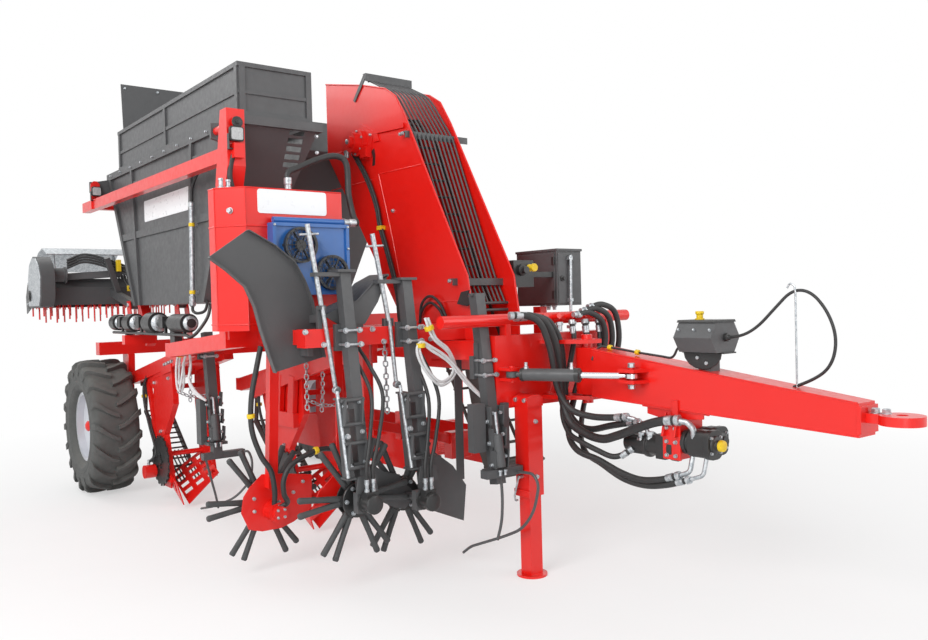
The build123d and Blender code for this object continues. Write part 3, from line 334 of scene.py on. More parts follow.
# Nodes of the frame that keep their own shape: finish to names
DRESSED: tuple[tuple[Finish, tuple[str, ...]], ...] = (
    (
        Finishes.RED,
        (
            "axle_leg_right", "axle_leg_left", "chassis_frame", "bunker_stand", "toolbar",
            "front_frame", "hose_rail", "side_flail_carrier", "digger_frame_1",
            "digger_frame_2", "carrying_web", "elevator_housing", "oil_tank", "box_post",
            "stand_sleeve", "hub_right", "hub_left", "drawbar", "towing_eye", "stand_leg",
            "topper_rotor", "digger_shares_1", "digger_shares_2",
        ),
    ),
    (
        Finishes.GREY,
        (
            "topper_leg_1", "topper_leg_2", "row_finder_leg", "rear_leg", "leaf_chute",
            "control_box", "bunker_hopper", "bunker_extension", "bunker_flap",
            "control_unit", "topper_arm", "topper_housing", "steering_barrel",
            "rotor_guards", "spindle_brackets", "elevator_grille",
        ),
    ),
    (Finishes.STEEL, ("lifting_web_1", "lifting_web_2", "elevator_web")),
    (
        Finishes.CAST,
        ("drive_row", "pump_unit", "cleaning_disc_1", "cleaning_disc_2", "cooler_fans"),
    ),
    (Finishes.ZINC, ("hook_post", "topper_deflector", "depth_spindles")),
    (Finishes.CHROME, ("steering_rod",)),
    (Finishes.BLUE, ("oil_cooler",)),
    (Finishes.SILVER, ("rim_right", "rim_left")),
    (Finishes.TYRE, ("tyre_right", "tyre_left")),
    (Finishes.FLAIL, ("flail_rotor_1", "flail_rotor_2", "flail_rotor_3")),
    (Finishes.RUBBER, ("control_cable",)),
)


def dress(node: bpy.types.Object, finish: Finish) -> None:
    """Gives a node of the frame its finish.

    Args:
        node: The frame's object.
        finish: What its surface is.
    """
    made = finish.material()
    if not node.material_slots:
        node.data.materials.append(made)
    for slot in node.material_slots:
        slot.material = made


# Stage


@dataclass
class Camera:
    """Camera at the photograph's viewing angle."""

    place: tuple[float, float, float] = (8499.0, -2123.0, 1700.0)
    azimuth: float = 37.79
    pitch: float = 1.18
    roll: float = -1.49
    focal_px: float = 846.7
    width_px: float = 928.0

    def build(self) -> None:
        """Makes the camera and sets it as the scene's."""
        turn, fall, roll = (math.radians(v) for v in (self.azimuth, self.pitch, self.roll))
        ahead = Vector(
            (
                -math.cos(turn) * math.cos(fall),
                math.sin(turn) * math.cos(fall),
                -math.sin(fall),
            )
        )
        right = ahead.cross(Vector((0, 0, 1))).normalized()
        up = right.cross(ahead)
        rolled = right * math.cos(roll) + up * math.sin(roll)
        risen = up * math.cos(roll) - right * math.sin(roll)
        lens = bpy.data.cameras.new("camera")
        lens.sensor_width = 36.0
        lens.lens = 36.0 * self.focal_px / self.width_px
        lens.clip_end = 100.0
        made = bpy.data.objects.new("camera", lens)
        turned = Matrix((rolled, risen, -ahead)).transposed().to_4x4()
        made.matrix_world = Matrix.Translation(at(*self.place)) @ turned
        bpy.context.scene.collection.objects.link(made)
        bpy.context.scene.camera = made


@dataclass
class Studio:
    """Plain pale floor and soft lamps."""

    floor_half: float = 60.0
    sky: float = 0.55

    def build(self) -> None:
        """Makes the floor, the world and the lamps."""
        grid = bmesh.new()
        bmesh.ops.create_grid(grid, x_segments=2, y_segments=2, size=self.floor_half)
        mesh = bpy.data.meshes.new("studio_floor")
        grid.to_mesh(mesh)
        grid.free()
        floor = bpy.data.objects.new("studio_floor", mesh)
        bpy.context.scene.collection.objects.link(floor)
        floor.location.z = -0.001
        mesh.materials.append(self.floor_material())
        self.world()
        # Lamps: name, place in metres, width, power in watts
        for name, place, width, power in (
            ("key_lamp", (4.5, -8.5, 6.5), 5.0, 640.0),
            ("low_lamp", (9.5, -6.0, 1.6), 3.0, 120.0),
            ("fill_lamp", (9.0, 6.0, 5.0), 6.0, 240.0),
            ("back_lamp", (-7.0, -3.0, 8.0), 6.0, 260.0),
        ):
            self.lamp(name, Vector(place), width, power)

    def floor_material(self) -> bpy.types.Material:
        """Returns painted studio concrete, near white, with a faint mottle."""
        made = bpy.data.materials.new("painted_studio_floor")
        made.use_nodes = True
        tree = made.node_tree
        tree.nodes.clear()
        node = partial(add, tree)
        place = node("ShaderNodeTexCoord").outputs["Object"]
        mottle = node("ShaderNodeTexNoise", {"Vector": place, "Scale": 3.0}).outputs[0]
        tones = {0: mottle, 6: linear("f4f4f4"), 7: linear("f1f1f1")}
        colour = node("ShaderNodeMix", tones, data_type="RGBA").outputs[2]
        surface = node("ShaderNodeBsdfPrincipled", {"Base Color": colour, "Roughness": 0.9})
        # The floor runs out to plain white some metres past the machine
        reach = node("ShaderNodeVectorMath", {0: place}, operation="LENGTH").outputs["Value"]
        limits = {0: reach, 1: 3.2, 2: 7.5, 3: 0.5, 4: 1.0}
        away = node("ShaderNodeMapRange", limits).outputs[0]
        seen = self.seen(tree)
        share = node("ShaderNodeMath", {0: away, 1: seen}, operation="MULTIPLY").outputs[0]
        white = node("ShaderNodeEmission", {0: WHITE_LIGHT, 1: 1.0}).outputs[0]
        shaders = {0: share, 1: surface.outputs[0], 2: white}
        mixed = node("ShaderNodeMixShader", shaders).outputs[0]
        node("ShaderNodeOutputMaterial", {0: mixed})
        return made

    def seen(self, tree: bpy.types.NodeTree) -> bpy.types.NodeSocket:
        """Tells the camera's rays and mirrored rays from those that light.

        Args:
            tree: The node tree that asks.

        Returns:
            A socket, 1 for a ray that shows and 0 for one that lights.
        """
        rays = add(tree, "ShaderNodeLightPath").outputs
        both = {0: rays["Is Camera Ray"], 1: rays["Is Glossy Ray"]}
        return add(tree, "ShaderNodeMath", both, operation="MAXIMUM").outputs[0]

    def world(self) -> None:
        """Lights the object evenly and shows the background as white."""
        bpy.context.scene.view_settings.view_transform = "Standard"
        world = bpy.data.worlds.new("studio")
        bpy.context.scene.world = world
        world.use_nodes = True
        tree = world.node_tree
        tree.nodes.clear()
        node = partial(add, tree)
        through = node("ShaderNodeLightPath").outputs["Is Transmission Ray"]
        both = {0: self.seen(tree), 1: through}
        seen = node("ShaderNodeMath", both, operation="MAXIMUM").outputs[0]
        light = node("ShaderNodeBackground", {0: WHITE_LIGHT, 1: self.sky}).outputs[0]
        white = node("ShaderNodeBackground", {0: WHITE_LIGHT, 1: 1.0}).outputs[0]
        mixed = node("ShaderNodeMixShader", {0: seen, 1: light, 2: white}).outputs[0]
        node("ShaderNodeOutputWorld", {0: mixed})

    def lamp(self, name: str, place: Vector, width: float, power: float) -> None:
        """Hangs a square soft lamp that faces the machine.

        Args:
            name: The lamp's name.
            place: Where it hangs, in the frame.
            width: Side of its square, in metres.
            power: Watts.
        """
        data = bpy.data.lights.new(name, "AREA")
        data.size = width
        data.energy = power
        made = bpy.data.objects.new(name, data)
        made.location = place
        made.rotation_mode = "QUATERNION"
        made.rotation_quaternion = (Vector((0.5, 0, 1.2)) - place).to_track_quat("-Z", "Y")
        bpy.context.scene.collection.objects.link(made)


# Lines and outlines


def rounded(points: Sequence[Point], bend: float, steps: int = 5) -> list[Vector]:
    """Line through points with each corner bent to an arc.

    Args:
        points: Corners in the machine's lines.
        bend: Radius of the bends, in mm; a short run gets a tighter one.
        steps: Pieces of each arc.

    Returns:
        Points close together round the corners.
    """
    corners = [Vector(p) for p in points]
    line = [corners[0]]
    for before, here, after in zip(corners, corners[1:], corners[2:]):
        back, ahead = before - here, after - here
        half = back.angle(ahead) / 2
        cut = min(bend / math.tan(half), 0.45 * back.length, 0.45 * ahead.length)
        start, end = here + back.normalized() * cut, here + ahead.normalized() * cut
        for step in range(steps + 1):
            t = step / steps
            line.append(start.lerp(here, t).lerp(here.lerp(end, t), t))
    return [*line, corners[-1]]


def eased(points: Sequence[Point], steps: int = 7) -> list[Vector]:
    """Smooth line that passes its points and sags evenly between them.

    Args:
        points: Places in the machine's lines.
        steps: Pieces of each run.

    Returns:
        Points close together along it.
    """
    places = [Vector(p) for p in points]
    places = [places[0] * 2 - places[1], *places, places[-1] * 2 - places[-2]]
    line = []
    for p0, p1, p2, p3 in zip(places, places[1:], places[2:], places[3:]):
        for step in range(steps):
            t = step / steps
            line.append(
                (p1 * 2 + (p2 - p0) * t + (p0 * 2 - p1 * 5 + p2 * 4 - p3) * t * t
                 + (p1 * 3 - p0 - p2 * 3 + p3) * t ** 3) / 2
            )
    return [*line, places[-2]]


def around(
    middle: Point, radius: float, count: int, start: float = 0.0, flat: tuple[int, int] = (1, 2)
) -> list[Vector]:
    """Places spread evenly round a circle.

    Args:
        middle: Its middle.
        radius: Its radius.
        count: How many there are.
        start: Angle of the first one, in degrees.
        flat: The two directions that the circle lies in.

    Returns:
        The places.
    """
    places = []
    for step in range(count):
        turn = math.radians(start + step * 360 / count)
        place = Vector(middle)
        place[flat[0]] += radius * math.cos(turn)
        place[flat[1]] += radius * math.sin(turn)
        places.append(place)
    return places


def rounded_plate(
    width: float, height: float, corner: float = 18.0, middle: tuple[float, float] = (0, 0)
) -> list[Point]:
    """Outline of a plate with round corners.

    Args:
        width: Its width.
        height: Its height.
        corner: Radius of the corners.
        middle: Its middle.

    Returns:
        Corners going round it.
    """
    outline = []
    for right, up, start in ((1, -1, -90), (1, 1, 0), (-1, 1, 90), (-1, -1, 180)):
        a = middle[0] + right * (width / 2 - corner)
        b = middle[1] + up * (height / 2 - corner)
        for step in range(5):
            turn = math.radians(start + step * 22.5)
            outline.append((a + corner * math.cos(turn), b + corner * math.sin(turn)))
    return outline


def leaning(x: float, bar_z: float, z: float) -> float:
    """X of a leaning tool leg's middle.

    Args:
        x: Its X at the beam that it is clamped to.
        bar_z: Height of that beam.
        z: The height that is asked for.

    Returns:
        X at that height.
    """
    return x + (bar_z - z) * math.tan(math.radians(LEG_LEAN))


def axes(along: Point) -> tuple[Vector, Vector, Vector]:
    """An axis and the two directions square to it, each one unit long."""
    axis = Vector(along).normalized()
    wide = axis.orthogonal().normalized()
    return axis, wide, axis.cross(wide)


def ring(middle: Vector, wide: Vector, high: Vector, radius: float, sides: int) -> list[Vector]:
    """Corners of a round section.

    Args:
        middle: Its middle.
        wide: One unit direction in its plane.
        high: The direction in its plane that is square to that.
        radius: Its radius.
        sides: How many corners it has.

    Returns:
        The corners.
    """
    turns = [step * math.tau / sides for step in range(sides)]
    return [middle + (wide * math.cos(t) + high * math.sin(t)) * radius for t in turns]


# Making of pieces


class Form:
    """Mesh under construction, drawn in the machine's lines."""

    def __init__(self) -> None:
        """Starts empty."""
        self.mesh = bmesh.new()

    def skin(self, rings: Sequence[Sequence[Point]], closed: bool = False) -> Form:
        """Joins rings of like count into a solid.

        Args:
            rings: Corners of each ring.
            closed: Whether the last ring meets the first; if not, both ends are capped.

        Returns:
            The form itself.
        """
        made = [[self.mesh.verts.new(at(*p)) for p in corners] for corners in rings]
        for low, high in zip(made, [*made[1:], made[0]] if closed else made[1:]):
            for i in range(len(low)):
                j = (i + 1) % len(low)
                self.mesh.faces.new((low[i], low[j], high[j], high[i]))
        if not closed:
            self.mesh.faces.new(made[0][::-1])
            self.mesh.faces.new(made[-1])
        return self

    def block(self, low: Point, high: Point) -> Form:
        """Adds a block between two corners."""
        (x0, y0, z0), (x1, y1, z1) = low, high
        base = [(x0, y0), (x1, y0), (x1, y1), (x0, y1)]
        return self.skin([[(x, y, z) for x, y in base] for z in (z0, z1)])

    def plate(self, across: Across, outline: Sequence[Point], start: float, end: float) -> Form:
        """Adds a flat plate.

        Args:
            across: The direction that it is thick along.
            outline: Its corners in the other two directions.
            start: One face.
            end: The other face.

        Returns:
            The form itself.
        """
        k = across.value
        return self.skin([[(*p[:k], depth, *p[k:]) for p in outline] for depth in (start, end)])

    def beam(
        self,
        start: Point,
        end: Point,
        size: tuple[float, float],
        side: Point = LEFT,
        end_size: tuple[float, float] | None = None,
    ) -> Form:
        """Adds a square bar, tapered if its end has another size.

        Args:
            start: Middle of one end.
            end: Middle of the other.
            size: Width along the side direction, and height.
            side: The direction of its width.
            end_size: Width and height at the end.

        Returns:
            The form itself.
        """
        line = (Vector(end) - Vector(start)).normalized()
        wide = (Vector(side) - line * Vector(side).dot(line)).normalized()
        high = line.cross(wide)
        rings = []
        for middle, (w, h) in ((start, size), (end, end_size or size)):
            turns = ((-w, -h), (w, -h), (w, h), (-w, h))
            rings.append([Vector(middle) + wide * a / 2 + high * b / 2 for a, b in turns])
        return self.skin(rings)

    def turned(
        self, start: Point, along: Point, profile: Sequence[Point], sides: int = 20
    ) -> Form:
        """Adds a turned piece.

        Args:
            start: Where its axis starts.
            along: The axis.
            profile: Distance along it and radius, from one end to the other.
            sides: Facets round it.

        Returns:
            The form itself.
        """
        axis, wide, high = axes(along)
        middle = Vector(start)
        return self.skin([ring(middle + axis * d, wide, high, r, sides) for d, r in profile])

    def hoop(
        self, middle: Point, along: Point, section: Sequence[Point], sides: int = 96
    ) -> Form:
        """Turns a closed section into a ring.

        Args:
            middle: Middle of the ring.
            along: Its axis.
            section: Distance along the axis and radius of each corner.
            sides: Facets round it.

        Returns:
            The form itself.
        """
        axis, wide, high = axes(along)
        arms = ring(Vector(), wide, high, 1.0, sides)
        places = [[Vector(middle) + axis * d + arm * r for d, r in section] for arm in arms]
        return self.skin(places, closed=True)

    def rod(self, start: Point, end: Point, radius: float, sides: int = 14) -> Form:
        """Adds a round bar with broken edges."""
        line = Vector(end) - Vector(start)
        edge = min(radius * 0.15, line.length * 0.2)
        low, high = (0, radius - edge), (line.length, radius - edge)
        profile = [low, (edge, radius), (line.length - edge, radius), high]
        return self.turned(start, line, profile, sides)

    def bolt(self, place: Point, along: Point, across_flats: float = 24.0) -> Form:
        """Adds a washer and a hexagon head that stands off a face.

        Args:
            place: Where it meets the face.
            along: The face's outward direction.
            across_flats: Size of the head.

        Returns:
            The form itself.
        """
        r = across_flats / math.sqrt(3)
        self.turned(place, along, [(0, r * 1.15), (3, r * 1.15), (WASHER, r * 1.1)], 16)
        head = Vector(place) + Vector(along).normalized() * WASHER
        tall = across_flats * 0.6
        return self.turned(head, along, [(0, r), (tall * 0.85, r), (tall, r * 0.85)], 6)

    def bolts(self, places: Sequence[Point], along: Point, across_flats: float = 24.0) -> Form:
        """Adds a bolt at each place, all of them facing one way."""
        for place in places:
            self.bolt(place, along, across_flats)
        return self

    def u_bolt(self, middle: Point, back: float, half: float, nut: float, flats: float) -> Form:
        """Adds a U bolt that clamps a leg to its beam, with its two nuts.

        Args:
            middle: Middle of the leg.
            back: X where its two ends stop.
            half: Half the distance between its two ends.
            nut: How far ahead of the middle the nuts stand.
            flats: Size of the nuts.

        Returns:
            The form itself.
        """
        x, y, z = middle
        left, right = y - half, y + half
        turn = x + U_BOLT_REACH
        self.bent([(back, left, z), (turn, left, z), (turn, right, z), (back, right, z)], 8, 14)
        return self.bolts([(x + nut, left, z), (x + nut, right, z)], AHEAD, flats)

    def clip(self, place: Point, along: Point, radius: float) -> Form:
        """Adds a moulded clip round a hose.

        Args:
            place: Its middle.
            along: The hose's direction.
            radius: The hose's radius.

        Returns:
            The form itself.
        """
        start = Vector(place) - Vector(along).normalized() * CLIP_LENGTH / 2
        low, high = radius + 4, radius + 7
        profile = [(0, low), (3, high), (CLIP_LENGTH - 3, high), (CLIP_LENGTH, low)]
        return self.turned(start, along, profile, 12)

    def tube(self, line: Sequence[Vector], radius: float, sides: int) -> Form:
        """Adds a round bar along a line of close points.

        Args:
            line: The points.
            radius: Half its thickness.
            sides: Facets round it.

        Returns:
            The form itself.
        """
        wide = (line[1] - line[0]).normalized().orthogonal().normalized()
        rings = []
        for i, here in enumerate(line):
            axis = (line[min(i + 1, len(line) - 1)] - line[max(i - 1, 0)]).normalized()
            wide = (wide - axis * wide.dot(axis)).normalized()
            rings.append(ring(here, wide, axis.cross(wide), radius, sides))
        return self.skin(rings)

    def bent(
        self, points: Sequence[Point], radius: float, bend: float = 60.0, sides: int = 10
    ) -> Form:
        """Adds a round bar or pipe bent at its corners.

        Args:
            points: Its corners.
            radius: Half its thickness.
            bend: Radius of the bends.
            sides: Facets round it.

        Returns:
            The form itself.
        """
        return self.tube(rounded(points, bend), radius, sides)

    def hose(self, points: Sequence[Point], radius: float, sides: int = 12) -> Form:
        """Adds a hose on one smooth line through its points.

        Args:
            points: Places that it passes.
            radius: Half its thickness.
            sides: Facets round it.

        Returns:
            The form itself.
        """
        return self.tube(eased(points), radius, sides)

    def chain(self, points: Sequence[Point], pitch: float, wire: float) -> Form:
        """Adds a welded chain.

        Args:
            points: The line that it hangs along.
            pitch: Distance between its links.
            wire: Radius of a link's wire.

        Returns:
            The form itself.
        """
        line = [Vector(p) for p in points]
        count = 0
        for start, end in zip(line, line[1:]):
            axis, flat, other = axes(end - start)
            for step in range(max(1, round((end - start).length / pitch))):
                middle = start + axis * pitch * (step + 0.5)
                wide = flat if count % 2 else other
                a, b = axis * pitch * 0.62, wide * pitch * 0.36
                half = (a * 0.5 + b, a, a * 0.5 - b)
                loop = [middle + p for p in half] + [middle - p for p in half]
                self.bent([*loop, loop[0]], wire, wire, 6)
                count += 1
        return self

    def piece(
        self,
        name: str,
        finish: Finish,
        body: Body | None = Body.FRAME,
        bevel: float = 0.0,
        replaces: Sequence[str] = (),
    ) -> bpy.types.Object:
        """Ends the form and makes it a piece of the machine.

        Args:
            name: The piece's name.
            finish: What its surface is.
            body: The body that it rides on; none for a piece that is left unattached.
            bevel: Width of the broken edges, in mm; none at 0.
            replaces: Nodes of the frame that it stands for.

        Returns:
            The object.
        """
        bmesh.ops.recalc_face_normals(self.mesh, faces=self.mesh.faces)
        mesh = bpy.data.meshes.new(name)
        self.mesh.to_mesh(mesh)
        self.mesh.free()
        mesh.polygons.foreach_set("use_smooth", [True] * len(mesh.polygons))
        mesh.set_sharp_from_angle(angle=math.radians(HARD_EDGE))
        mesh.materials.append(finish.material())
        made = bpy.data.objects.new(name, mesh)
        bpy.context.scene.collection.objects.link(made)
        if bevel:
            edge = made.modifiers.new("edge", "BEVEL")
            edge.width = bevel * MM
            edge.segments = 2
            edge.limit_method = "ANGLE"
            edge.angle_limit = math.radians(BROKEN_EDGE)
            edge.harden_normals = True
        if body is not None:
            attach(made, body.value)
        if replaces:
            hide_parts(*replaces)
        return made


@dataclass
class ControlCable:
    """Cable from the control housing over the wire post, bare plug end tied at the post."""

    radius: float = 8.0
    length: float = 1.168
    route: tuple[Point, ...] = (
        (5800, 1720, 1480), (5880, 1720, 1480), (5985, 1728, 1530), (6080, 1742, 1630),
        (6165, 1762, 1722), (6260, 1772, 1712), (6345, 1775, 1610), (6390, 1772, 1480),
        (6365, 1766, 1350), (6275, 1758, 1275), (6170, 1752, 1236),
    )

    def build(self) -> None:
        data = bpy.data.curves.new("control_cable_run", "CURVE")
        data.dimensions = "3D"
        data.bevel_depth = self.radius * MM
        data.bevel_resolution = 4
        data.resolution_u = 12
        data.use_fill_caps = True
        line = data.splines.new("NURBS")
        line.points.add(len(self.route) - 1)
        for here, point in zip(line.points, self.route):
            here.co = (*at(*point), 1.0)
        line.order_u = 3
        line.use_endpoint_u = True
        data.materials.append(Finishes.RUBBER.material())
        cable = bpy.data.objects.new("control_cable_run", data)
        bpy.context.scene.collection.objects.link(cable)
        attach(cable, Body.DRAWBAR.value)
        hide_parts("control_cable")


# Sub-assemblies

# Legs: right hand edge and middle, hub of the rotor, ends of the bright adjusting spindle
TOPPERS = (
    (440.0, (4080, 440, 540), ((4222, 318, 700), (4118, 318, 1200))),
    (880.0, (3960, 850, 490), ((4222, 760, 700), (4118, 760, 1200))),
)
# Rotors: body and middle of the hub
ROTORS = (
    (Body.FLAIL_1, (4080, 440, 540)),
    (Body.FLAIL_2, (3960, 850, 490)),
    (Body.FLAIL_3, (3400, 160, 450)),
)
# Diggers: tip of the right share
DIGGERS = ((1300, 360), (2800, 810))


@dataclass
class Wheel:
    """Wheel with its curved chevron tread, wheel nuts and valve."""

    side: str
    hub_y: float
    outer: int
    body: Body
    radius: float = 625.0
    lugs: int = 18
    nuts: int = 8
    # Half of the tyre's section: distance from the middle, radius
    wall: tuple[Point, ...] = (
        (138, 305), (141, 331), (152, 339), (172, 346), (190, 362), (197, 382), (201, 386),
        (202, 430), (199, 434), (203, 470), (201, 515), (192, 548), (170, 572), (135, 582),
        (70, 586),
    )
    # Lug: distance from the middle, lead round the tread, top and foot radius, half its width
    line: tuple[Point, ...] = (
        (-8, 70, 623, 575, 19), (40, 54, 625, 575, 20), (95, 20, 625, 570, 22),
        (145, -20, 622, 560, 25), (180, -46, 613, 545, 29), (202, -58, 592, 520, 31),
        (208, -62, 560, 500, 29), (207, -64, 524, 480, 20),
    )

    def build(self) -> None:
        """Makes the tyre and what is bolted to the wheel."""
        form = Form()
        section = [*self.wall, *[(-d, r) for d, r in reversed(self.wall)]]
        form.hoop((0, self.hub_y, self.radius), LEFT, section, 108)
        for across in (1, -1):
            for step in range(self.lugs):
                share = step + (0 if across > 0 else 0.5)
                self.lug(form, across, share * math.tau / self.lugs)
        node = f"tyre_{self.side}"
        form.piece(f"lugged_{node}", Finishes.TYRE, self.body, 4, (node,))
        self.fittings()

    def lug(self, form: Form, across: int, turn: float) -> None:
        """Adds one lug from the tread's middle over the shoulder to the side wall.

        Args:
            form: The tyre.
            across: +1 or -1, the side that it runs to.
            turn: Its place round the tyre.
        """
        rings = []
        for distance, lead, top, foot, half in self.line:
            corners = []
            for radius, edge in ((foot, -1.1), (top, -0.9), (top, 0.9), (foot, 1.1)):
                angle = turn + (lead + edge * half) / LEAD_RADIUS
                corners.append((
                    radius * math.sin(angle),
                    self.hub_y + across * distance,
                    self.radius + radius * math.cos(angle),
                ))
            rings.append(corners)
        form.skin(rings)

    def fittings(self) -> None:
        """Adds the wheel nuts, the hub's cap and the valve."""
        out = (0, self.outer, 0)
        face, cap, root, tip = (self.hub_y + self.outer * d for d in (34, 108, 70, 122))
        circle = around((0, face, self.radius), 86, self.nuts, flat=(0, 2))
        Form().bolts(circle, out, 26).piece(
            f"wheel_nuts_{self.side}", Finishes.ZINC, self.body)
        Form().turned(
            (0, cap, self.radius), out,
            [(0, 46), (6, 50), (12, 50), (24, 40), (34, 22), (36, 8)], 28,
        ).piece(f"hub_cap_{self.side}", Finishes.RED, self.body)
        Form().rod((0, root, self.radius + 236), (0, tip, self.radius + 262), 6).piece(
            f"tyre_valve_{self.side}", Finishes.RUBBER, self.body)


@dataclass
class Bunker:
    """Blank plate, lamps, bolts and the galvanised tube on the bunker's right hand wall."""

    wall_y: float = 200.0

    def build(self) -> None:
        """Makes every fitting."""
        outline = rounded_plate(1090, 178, middle=(1610, 2550))
        Form().plate(Across.Y, outline, self.wall_y - 4, self.wall_y).piece(
            "blank_bunker_plate", Finishes.WHITE, Body.BUNKER, 0.5)
        self.ribs()
        self.tube()
        self.bolts()
        self.lamps()

    def ribs(self) -> None:
        """Adds the folded ribs on the sloping left hand wall and on the rear wall."""
        form = Form()
        # Left hand wall: x at the top and at the foot
        for top, foot in ((110, 760), (760, 1120), (1440, 1480), (2060, 1800)):
            form.beam((top, 2100, 2940), (foot, 1704, 1756), (46, 18), AHEAD)
        # Rear wall: y at the top and at the foot
        for top, foot in ((250, 250), (1150, 950), (2040, 1640)):
            form.beam((84, top, 2940), (718, foot, 1756), (46, 18), LEFT)
        # Level rib: its height, and its share of the way up the slope
        level = 2370
        share = (level - 1750) / 1250
        rear, left, notch = 720 - 670 * share, 1700 + 400 * share, 1860 + 270 * share
        form.beam((rear, left, level), (notch, left, level), (18, 60), (0, 1, 0.2))
        form.beam((rear, 204, level), (rear, left, level), (18, 60), (1, 0, 0.4))
        form.piece("bunker_wall_ribs", Finishes.GREY, Body.BUNKER, 3)

    def tube(self) -> None:
        """Adds the galvanised tube with its clips and its hose."""
        y = self.wall_y - 46
        down = (-45, 0, -780)
        holders = [(2330 - z) * TUBE_LEAN for z in (2330, 1830)]
        form = Form().turned(
            (2305, y, 2500), down,
            [(0, 12), (10, 24), (36, 24), (38, 19), (700, 19), (702, 24), (770, 24), (780, 14)],
        )
        clips = Form()
        for lean, z in zip(holders, (2330, 1830)):
            form.block((2272 - lean, y - 6, z - 12), (2306 - lean, self.wall_y, z + 12))
            clips.clip((2296 - lean, y, z), down, 16)
        form.piece("galvanised_tube", Finishes.ZINC, Body.BUNKER, 1)
        Form().hose(
            [(2306, y, 2500), (2330, y, 2600), (2440, y + 8, 2700), (2560, y + 22, 2760),
             (2800, self.wall_y - 20, 2790)], 11,
        ).hose(
            [(2262, y, 1724), (2266, y, 1690), (2330, y + 10, 1672), (2400, y + 40, 1690),
             (2440, self.wall_y + 4, 1760)], 11,
        ).piece("tube_hoses", Finishes.RUBBER, Body.BUNKER)
        clips.clip((2450, y + 8, 2704), (110, 8, 70), 10)
        clips.piece("tube_clips", Finishes.YELLOW, Body.BUNKER)

    def bolts(self) -> None:
        """Adds the bolts of the flap, the rim and the front plate."""
        rim = [(x, self.wall_y - 22, BUNKER_TOP - 30) for x in range(180, 2900, 300)]
        form = Form().bolts([(-13, y, 3862) for y in (385, 700, 1015)], (1, 0, 0.09), 20)
        form.bolts(rim, RIGHT, 16).bolts([(3104, 775, z) for z in (2905, 2790)], AHEAD, 20)
        form.piece("bunker_bolts", Finishes.ZINC, Body.BUNKER)
        pin = Form().turned((3420, 50, 2870), AHEAD, [(0, 34), (4, 36), (10, 36), (14, 30)], 24)
        pin.turned((3434, 50, 2870), AHEAD, [(0, 16), (10, 16), (12, 12)], 6)
        pin.piece("tipping_pin_head", Finishes.CAST)

    def lamps(self) -> None:
        """Adds the two square work lamps that face forward."""
        # Lamp: its middle, half its side, where its bracket stands
        for index, (x, y, z, half, foot) in enumerate(((3406, 42, 2795, 44, 2700),
                                                      (150, 44, 2822, 42, 2740))):
            case = Form()
            # Shell, rim: its growth, its start and its end
            for grow, start, end in ((1, 0, 34), (1.06, 20, 30)):
                outline = rounded_plate(2 * half, 2 * half, 14)
                case.plate(Across.X, [(y + a * grow, z + b * grow) for a, b in outline],
                           x + start, x + end)
            for step in range(5):
                left = y - half + 8 + step * 17
                case.block((x - 12, left, z - half + 6), (x, left + 5, z + half - 6))
            case.beam((x + 10, y - half - 6, z), (x + 10, y - half - 6, foot), (5, 30))
            case.block((x - 6, y - half - 8, foot - 4), (x + 26, y + 10, foot + 4))
            case.piece(f"lamp_case_{index}", Finishes.CAST, bevel=1.5)
            glass = rounded_plate(2 * half - 12, 2 * half - 12, 12, (y, z))
            Form().plate(Across.X, glass, x + 34, x + 37).piece(
                f"lamp_lens_{index}", Finishes.LENS, bevel=0.5)


